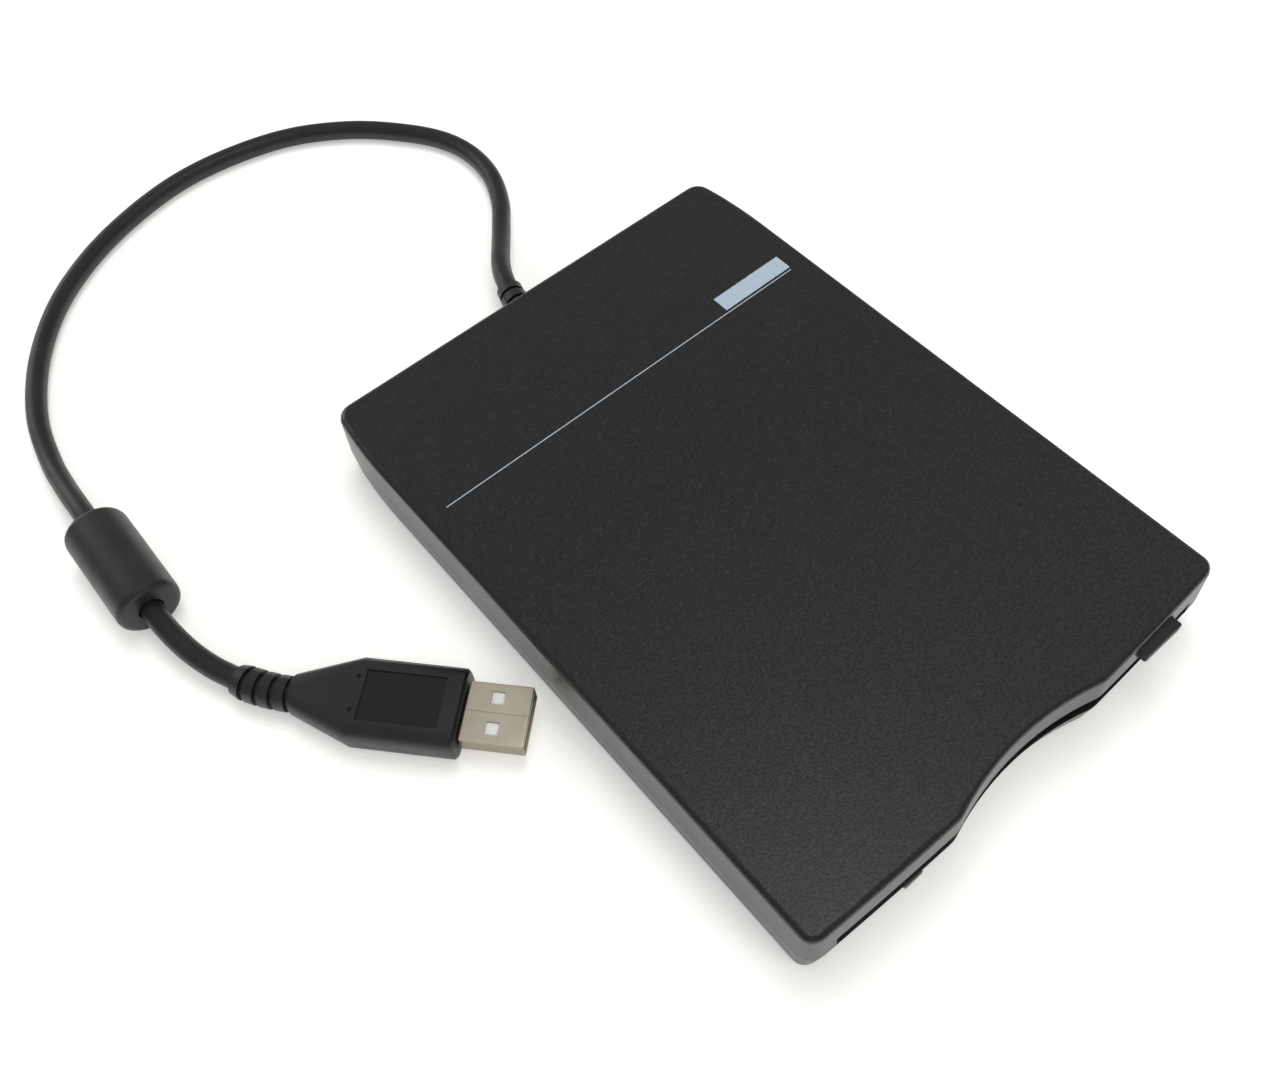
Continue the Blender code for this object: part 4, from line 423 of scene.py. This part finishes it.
def lacqueredBoard():
    # Glass-epoxy board under green lacquer: long copper runs show paler through it, and its gloss
    # is faintly uneven
    look = boardLook
    material, tree, shader, coords = newMaterial("lacquered_board", {"IOR": 1.55})
    first, second = look["lacquer"]
    runs = addNode(tree, "ShaderNodeTexBrick",
                   {"Scale": perMetre(look["runUnit"]), "Color1": first, "Color2": second,
                    "Mortar": look["copper"], **look["runs"]}, {"Vector": coords})
    tone = patches(tree, coords, *look["patch"])
    body = addNode(tree, "ShaderNodeMix", {"data_type": "RGBA", 7: look["patchColour"]}, {0: tone, 6: runs})
    tree.links.new(body.outputs[2], shader.inputs["Base Color"])
    tree.links.new(patches(tree, coords, *look["sheen"]), shader.inputs["Roughness"])
    grainBump(tree, shader, coords, *look["relief"])
    return material


copperLook = {
    "colours": ("#9c4f24", "#c4733a"),
    "turnGroup": 2.2,                  # a turn is about 0.1 mm: drawn in groups, or no pixel shows it
    "sheen": (1.0, 0.25, 0.4),
    "depth": 0.05,
    "strength": 0.3,
}


def enamelledCopper():
    # Enamelled copper wire, wound in tight turns: amber gloss over copper
    look = copperLook
    material, tree, shader, coords = newMaterial("enamelled_copper", {"Metallic": 1.0, "Coat Weight": 0.4})
    turns = addNode(tree, "ShaderNodeTexWave", {"Scale": perMetre(look["turnGroup"]), "Distortion": 0.6,
                                                "rings_direction": "Z", "wave_type": "RINGS"},
                    {"Vector": coords}).outputs[1]
    first, second = look["colours"]
    body = addNode(tree, "ShaderNodeMix", {"data_type": "RGBA", 6: first, 7: second}, {0: turns})
    tree.links.new(body.outputs[2], shader.inputs["Base Color"])
    tree.links.new(patches(tree, coords, *look["sheen"]), shader.inputs["Roughness"])
    bump = addNode(tree, "ShaderNodeBump", {"Strength": look["strength"], "Distance": look["depth"] * mm},
                   {"Height": turns})
    tree.links.new(bump.outputs[0], shader.inputs["Normal"])
    return material


# Which finish each carried node takes

makers = {
    "moulded_abs": mouldedAbs,
    "moulded_pvc_grip": grippedPvc,
    "extruded_pvc": extrudedPvc,
    "nickel_plated_steel": nickelPlate,
    "zinc_plated_sheet": zincSheet,
    "lacquered_board": lacqueredBoard,
    "enamelled_copper": enamelledCopper,
}

carried = {
    "moulded_abs": ("top_cover", "bottom_cover", "slot_door"),
    "satin_abs": ("eject_button",),
    "moulded_rubber": ("foot_1", "foot_2", "foot_3", "foot_4"),
    "moulded_pvc": ("strain_relief", "ferrite_sleeve"),
    "moulded_pvc_grip": ("plug_overmould",),
    "extruded_pvc": ("cord_inner", "cord"),
    "nickel_plated_steel": ("plug_shell", "crystal_can", "board_capacitor"),
    "zinc_plated_sheet": ("chassis", "slide_plate", "disk_carrier", "shutter_lever", "upper_head_arm",
                          "stepper_bracket", "stepper_motor"),
    "turned_steel": ("spindle_rotor", "drive_pin", "spindle_bearing", "guide_rod", "lead_screw"),
    "black_zinc_steel": ("case_screw_1", "case_screw_2", "case_screw_3", "case_screw_4",
                         "chassis_screw_1", "chassis_screw_2", "chassis_screw_3", "chassis_screw_4"),
    "gold_flashed_contact": ("plug_contact_1", "plug_contact_2", "plug_contact_3", "plug_contact_4"),
    "moulded_nylon": ("plug_tongue", "cord_connector", "flat_cable"),
    "lacquered_board": ("main_board", "usb_board", "lamp_board"),
    "moulded_epoxy": ("drive_chip", "bridge_chip", "write_protect_switch", "density_switch"),
    "enamelled_copper": ("spindle_stator",),
    "lapped_ceramic": ("lower_head", "upper_head"),
    "smoked_acrylic": ("lamp_lens", "access_lamp"),
    "glass_filled_resin": ("head_carriage",),
}

shadingLook = {"joinWithin": 0.002, "splitAngle": 35}


def smoothShading(node):
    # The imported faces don't share their corners: join them, part them again at real edges,
    # and even the shading
    node.data.shade_smooth()
    node.modifiers.new("join_faces", "WELD").merge_threshold = shadingLook["joinWithin"] * mm
    corners = node.modifiers.new("keep_corners", "EDGE_SPLIT")
    corners.split_angle = math.radians(shadingLook["splitAngle"])
    corners.use_edge_sharp = False
    node.modifiers.new("even_shading", "WEIGHTED_NORMAL").mode = "FACE_AREA_WITH_ANGLE"


finishes = {}
for finish, names in carried.items():
    finishes[finish] = makers[finish]() if finish in makers else plainFinish(finish)
    for name in names:
        nodes[name].data.materials.clear()
        nodes[name].data.materials.append(finishes[finish])
        smoothShading(nodes[name])
print("materials on", sum(len(names) for names in carried.values()), "carried nodes")


# Cord, along the same route as its solid

cordRoute = {
    "exit": (1.735, 82.379, 7.9),
    "out": ((2.35, 84.2, 7.9), (3.9, 87.9, 7.4), (6.4, 92.2, 6.3), (10.0, 97.3, 4.7),
            (15.2, 104.5, 3.0), (20.7, 112.5, 2.35), (24.6, 121.9, 2.35), (25.5, 131.9, 2.35),
            (23.2, 141.2, 2.35), (17.2, 150.9, 2.35), (7.8, 161.2, 2.35), (-5.2, 169.8, 2.35),
            (-20.0, 174.2, 2.35), (-35.5, 175.2, 2.35), (-51.0, 172.1, 2.35), (-65.7, 166.0, 2.35),
            (-79.0, 156.6, 2.35), (-89.9, 143.6, 2.35), (-97.4, 128.7, 2.35), (-100.6, 114.4, 2.7),
            (-101.2, 103.6, 4.4), (-101.2, 96.0, 6.0)),
    "ferrite": (-101.2, 76.0, 6.65), "ferriteLength": 25.0,
    "ferritePoints": (1.1, 0.5, 0.0, -0.5, -1.1),   # in half lengths from its middle
    "toPlug": ((-101.05, 58.0, 6.0), (-100.1, 51.5, 5.1), (-98.4, 45.6, 4.5)),
    "gap": 0.3,             # before the plug's ribs
    "lead": 1.5,            # straight, just before the gap
    "length": 310.3,
}


def cordPoints():
    # The cord meets the plug's ribbed relief at the end of the relief's bend
    route = cordRoute
    turn = plugLook["turn"]
    bend = plugLook["bend"]
    radius = plugLook["ribs"] * mm / bend
    tip = Vector((-radius * math.sin(bend), radius * (1 - math.cos(bend)), 0.0))
    along = Vector((math.cos(turn - bend), math.sin(turn - bend), 0.0))
    end = Vector(plugLook["place"]) + Matrix.Rotation(turn, 3, "Z") @ tip - along * route["gap"] * mm
    points = [Vector(route["exit"]) * mm]
    points += [Vector(point) * mm for point in route["out"]]
    x, y, z = route["ferrite"]
    half = route["ferriteLength"] / 2
    points += [Vector((x, y + half * share, z)) * mm for share in route["ferritePoints"]]
    points += [Vector(point) * mm for point in route["toPlug"]]
    return points + [end - along * route["lead"] * mm, end]


def smoothLine(points, spacing):
    # Even steps along a curve that passes through every point
    dense = []
    steps = 24
    for i in range(len(points) - 1):
        before = points[max(i - 1, 0)]
        start = points[i]
        end = points[i + 1]
        after = points[min(i + 2, len(points) - 1)]
        span = (end - start).length
        left = (end - before).normalized() * span
        right = (after - start).normalized() * span
        for k in range(steps):
            t = k / steps
            dense.append(start * (2 * t ** 3 - 3 * t ** 2 + 1) + left * (t ** 3 - 2 * t ** 2 + t)
                         + end * (3 * t ** 2 - 2 * t ** 3) + right * (t ** 3 - t ** 2))
    dense.append(points[-1])
    runs = [0.0]
    for a, b in zip(dense, dense[1:]):
        runs.append(runs[-1] + (b - a).length)
    count = max(2, round(runs[-1] / spacing))
    line = []
    k = 0
    for i in range(count + 1):
        want = runs[-1] * i / count
        while k < len(runs) - 2 and runs[k + 1] < want:
            k += 1
        step = runs[k + 1] - runs[k]
        line.append(dense[k].lerp(dense[k + 1], (want - runs[k]) / step if step else 0.0))
    return line


def makeCord():
    line = smoothLine(cordPoints(), cordLook["step"] * mm)
    curve = bpy.data.curves.new("cord_sheath", "CURVE")
    curve.dimensions = "3D"
    curve.bevel_depth = cordLook["diameter"] / 2 * mm
    curve.bevel_resolution = cordLook["roundness"]
    curve.use_fill_caps = True
    spline = curve.splines.new("POLY")
    spline.points.add(len(line) - 1)
    for point, place in zip(spline.points, line):
        point.co = (*place, 1.0)
    spline.use_smooth = True
    piece = bpy.data.objects.new("cord_sheath", curve)
    bpy.context.scene.collection.objects.link(piece)
    curve.materials.append(finishes["extruded_pvc"])
    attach(piece, "case")
    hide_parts("cord")


makeCord()
print("cord laid")


# Print on the top cover: one thin rule and a blank plate, in pale ink

printLook = {
    "ink": "#b4c3d2",
    "thin": "#7d8893",
    "thinShare": 0.3,
    "wear": 0.5,
    "sheen": (2.0, 0.5, 0.65),
    "relief": (0.02, 0.25),   # of the case's grain under it
    "thick": 0.02,
    "sunk": 0.01,             # into the lid's face, so that no gap shows
    "corner": 0.15,
    "cornerSteps": 4,
    "rule": ((-46.4, 36.3), (46.1, 36.52)),
    "plate": ((27.8, 37.1), (46.4, 41.3)),
}


def screenInk():
    # Screen-printed ink: pale blue-grey, thinly laid, so the case's grain shows through it
    material, tree, shader, coords = newMaterial("screen_printed_ink", {"IOR": 1.5})
    look = printLook
    wear = addNode(tree, "ShaderNodeTexNoise", {"Scale": perMetre(look["wear"]), "Detail": 6.0},
                   {"Vector": coords})
    thin = addNode(tree, "ShaderNodeMapRange", {1: 0.3, 2: 0.75, 3: 0.0, 4: look["thinShare"]}, {0: wear})
    body = addNode(tree, "ShaderNodeMix", {"data_type": "RGBA", 6: look["ink"], 7: look["thin"]}, {0: thin})
    tree.links.new(body.outputs[2], shader.inputs["Base Color"])
    tree.links.new(patches(tree, coords, *look["sheen"]), shader.inputs["Roughness"])
    grainBump(tree, shader, coords, caseLook["grain"], *look["relief"])
    return material


def makePrint():
    # Each print is a flat outline with rounded corners, as thick as the ink
    ink = screenInk()
    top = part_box("top_cover")[1].z
    thick, sunk, steps = printLook["thick"], printLook["sunk"], printLook["cornerSteps"]
    for name in ("rule", "plate"):
        (left, front), (right, rear) = printLook[name]
        radius = min(printLook["corner"], (rear - front) / 2.2)   # just under half the height of a thin rule
        corners = ((right, rear, -1, -1, 0), (left, rear, 1, -1, 90),
                   (left, front, 1, 1, 180), (right, front, -1, 1, 270))
        rim = []
        for x, y, inX, inY, start in corners:
            for step in range(steps + 1):
                angle = math.radians(start + 90 / steps * step)
                rim.append(((x + inX * radius + radius * math.cos(angle)) * mm,
                            (y + inY * radius + radius * math.sin(angle)) * mm))
        count = len(rim)
        points = [(x, y, z) for z in (top - sunk * mm, top + thick * mm) for x, y in rim]
        sides = [(i, (i + 1) % count, count + (i + 1) % count, count + i) for i in range(count)]
        under, over = tuple(reversed(range(count))), tuple(range(count, 2 * count))
        mesh = bpy.data.meshes.new("print_" + name)
        mesh.from_pydata(points, [], [under, over, *sides])
        mesh.materials.append(ink)
        piece = bpy.data.objects.new("print_" + name, mesh)
        bpy.context.scene.collection.objects.link(piece)
        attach(piece, "case")


makePrint()
print("print laid on the top cover")


# Floor, light and surroundings

stageLook = {
    "floor": "#f4f2ee",
    "floorHalf": 4.0,
    "floorLift": 0.3,         # glow of the pale table, as seen straight, in a reflection or through glass
    "sky": (0.34, 0.45),      # by the horizon, and overhead
    "skyRise": (0.1, 0.7),    # the heights that it changes between
    # A panel that isn't mirrored lights the table, and leaves no glare on the case's edges
    "panels": {
        "overhead": {"place": (0.08, -0.08, 0.9), "size": 0.3, "power": 0.65, "mirrored": True},
        "ceiling": {"place": (0.21, 0.26, 0.94), "size": 0.45, "power": 3.2, "mirrored": False},
        "window": {"place": (-0.28, 0.98, 0.41), "size": 0.6, "power": 1.5, "mirrored": True},
        "bounce": {"place": (0.08, -0.82, 0.7), "size": 0.7, "power": 3.4, "mirrored": False},
    },
}


def makeFloor():
    half = stageLook["floorHalf"]
    mesh = bpy.data.meshes.new("floor")
    mesh.from_pydata([(-half, -half, 0.0), (half, -half, 0.0), (half, half, 0.0), (-half, half, 0.0)], [],
                     [(0, 1, 2, 3)])
    floor = bpy.data.objects.new("floor", mesh)
    bpy.context.scene.collection.objects.link(floor)
    material = bpy.data.materials.new("painted_board")   # smooth matt paint, with no pattern to see
    material.use_nodes = True
    tree = material.node_tree
    tree.nodes.clear()
    path = addNode(tree, "ShaderNodeLightPath")
    seen = path.outputs["Is Camera Ray"]
    for other in ("Is Glossy Ray", "Is Transmission Ray"):
        seen = addNode(tree, "ShaderNodeMath", {"operation": "MAXIMUM"}, {0: seen, 1: path.outputs[other]})
    lift = addNode(tree, "ShaderNodeMath", {"operation": "MULTIPLY", 1: stageLook["floorLift"]}, {0: seen})
    matt = addNode(tree, "ShaderNodeBsdfDiffuse", {"Color": stageLook["floor"]})
    glow = addNode(tree, "ShaderNodeEmission", {"Color": "#ffffff"}, {"Strength": lift})
    both = addNode(tree, "ShaderNodeAddShader", links={0: matt, 1: glow})
    addNode(tree, "ShaderNodeOutputMaterial", links={"Surface": both})
    mesh.materials.append(material)


def makeLights():
    for name, look in stageLook["panels"].items():
        data = bpy.data.lights.new(name, "AREA")
        data.shape = "SQUARE"
        data.size = look["size"]
        data.energy = look["power"]
        lamp = bpy.data.objects.new(name, data)
        bpy.context.scene.collection.objects.link(lamp)
        lamp.location = look["place"]
        lamp.visible_glossy = look["mirrored"]
        lamp.rotation_euler = (-Vector(look["place"])).to_track_quat("-Z", "Y").to_euler()
    world = bpy.data.worlds.new("studio")
    bpy.context.scene.world = world
    world.use_nodes = True
    tree = world.node_tree
    around = tree.nodes.new("ShaderNodeTexCoord").outputs["Generated"]
    upward = addNode(tree, "ShaderNodeSeparateXYZ", links={0: around})
    low, high = stageLook["sky"]
    start, end = stageLook["skyRise"]
    rise = addNode(tree, "ShaderNodeMapRange", {1: start, 2: end, 3: low, 4: high}, {0: upward.outputs[2]})
    sky = tree.nodes["Background"]
    sky.inputs["Color"].default_value = (1.0, 1.0, 1.0, 1.0)
    tree.links.new(rise.outputs[0], sky.inputs["Strength"])


makeFloor()
makeLights()
bpy.context.scene.view_settings.view_transform = "Standard"
print("floor and light set")
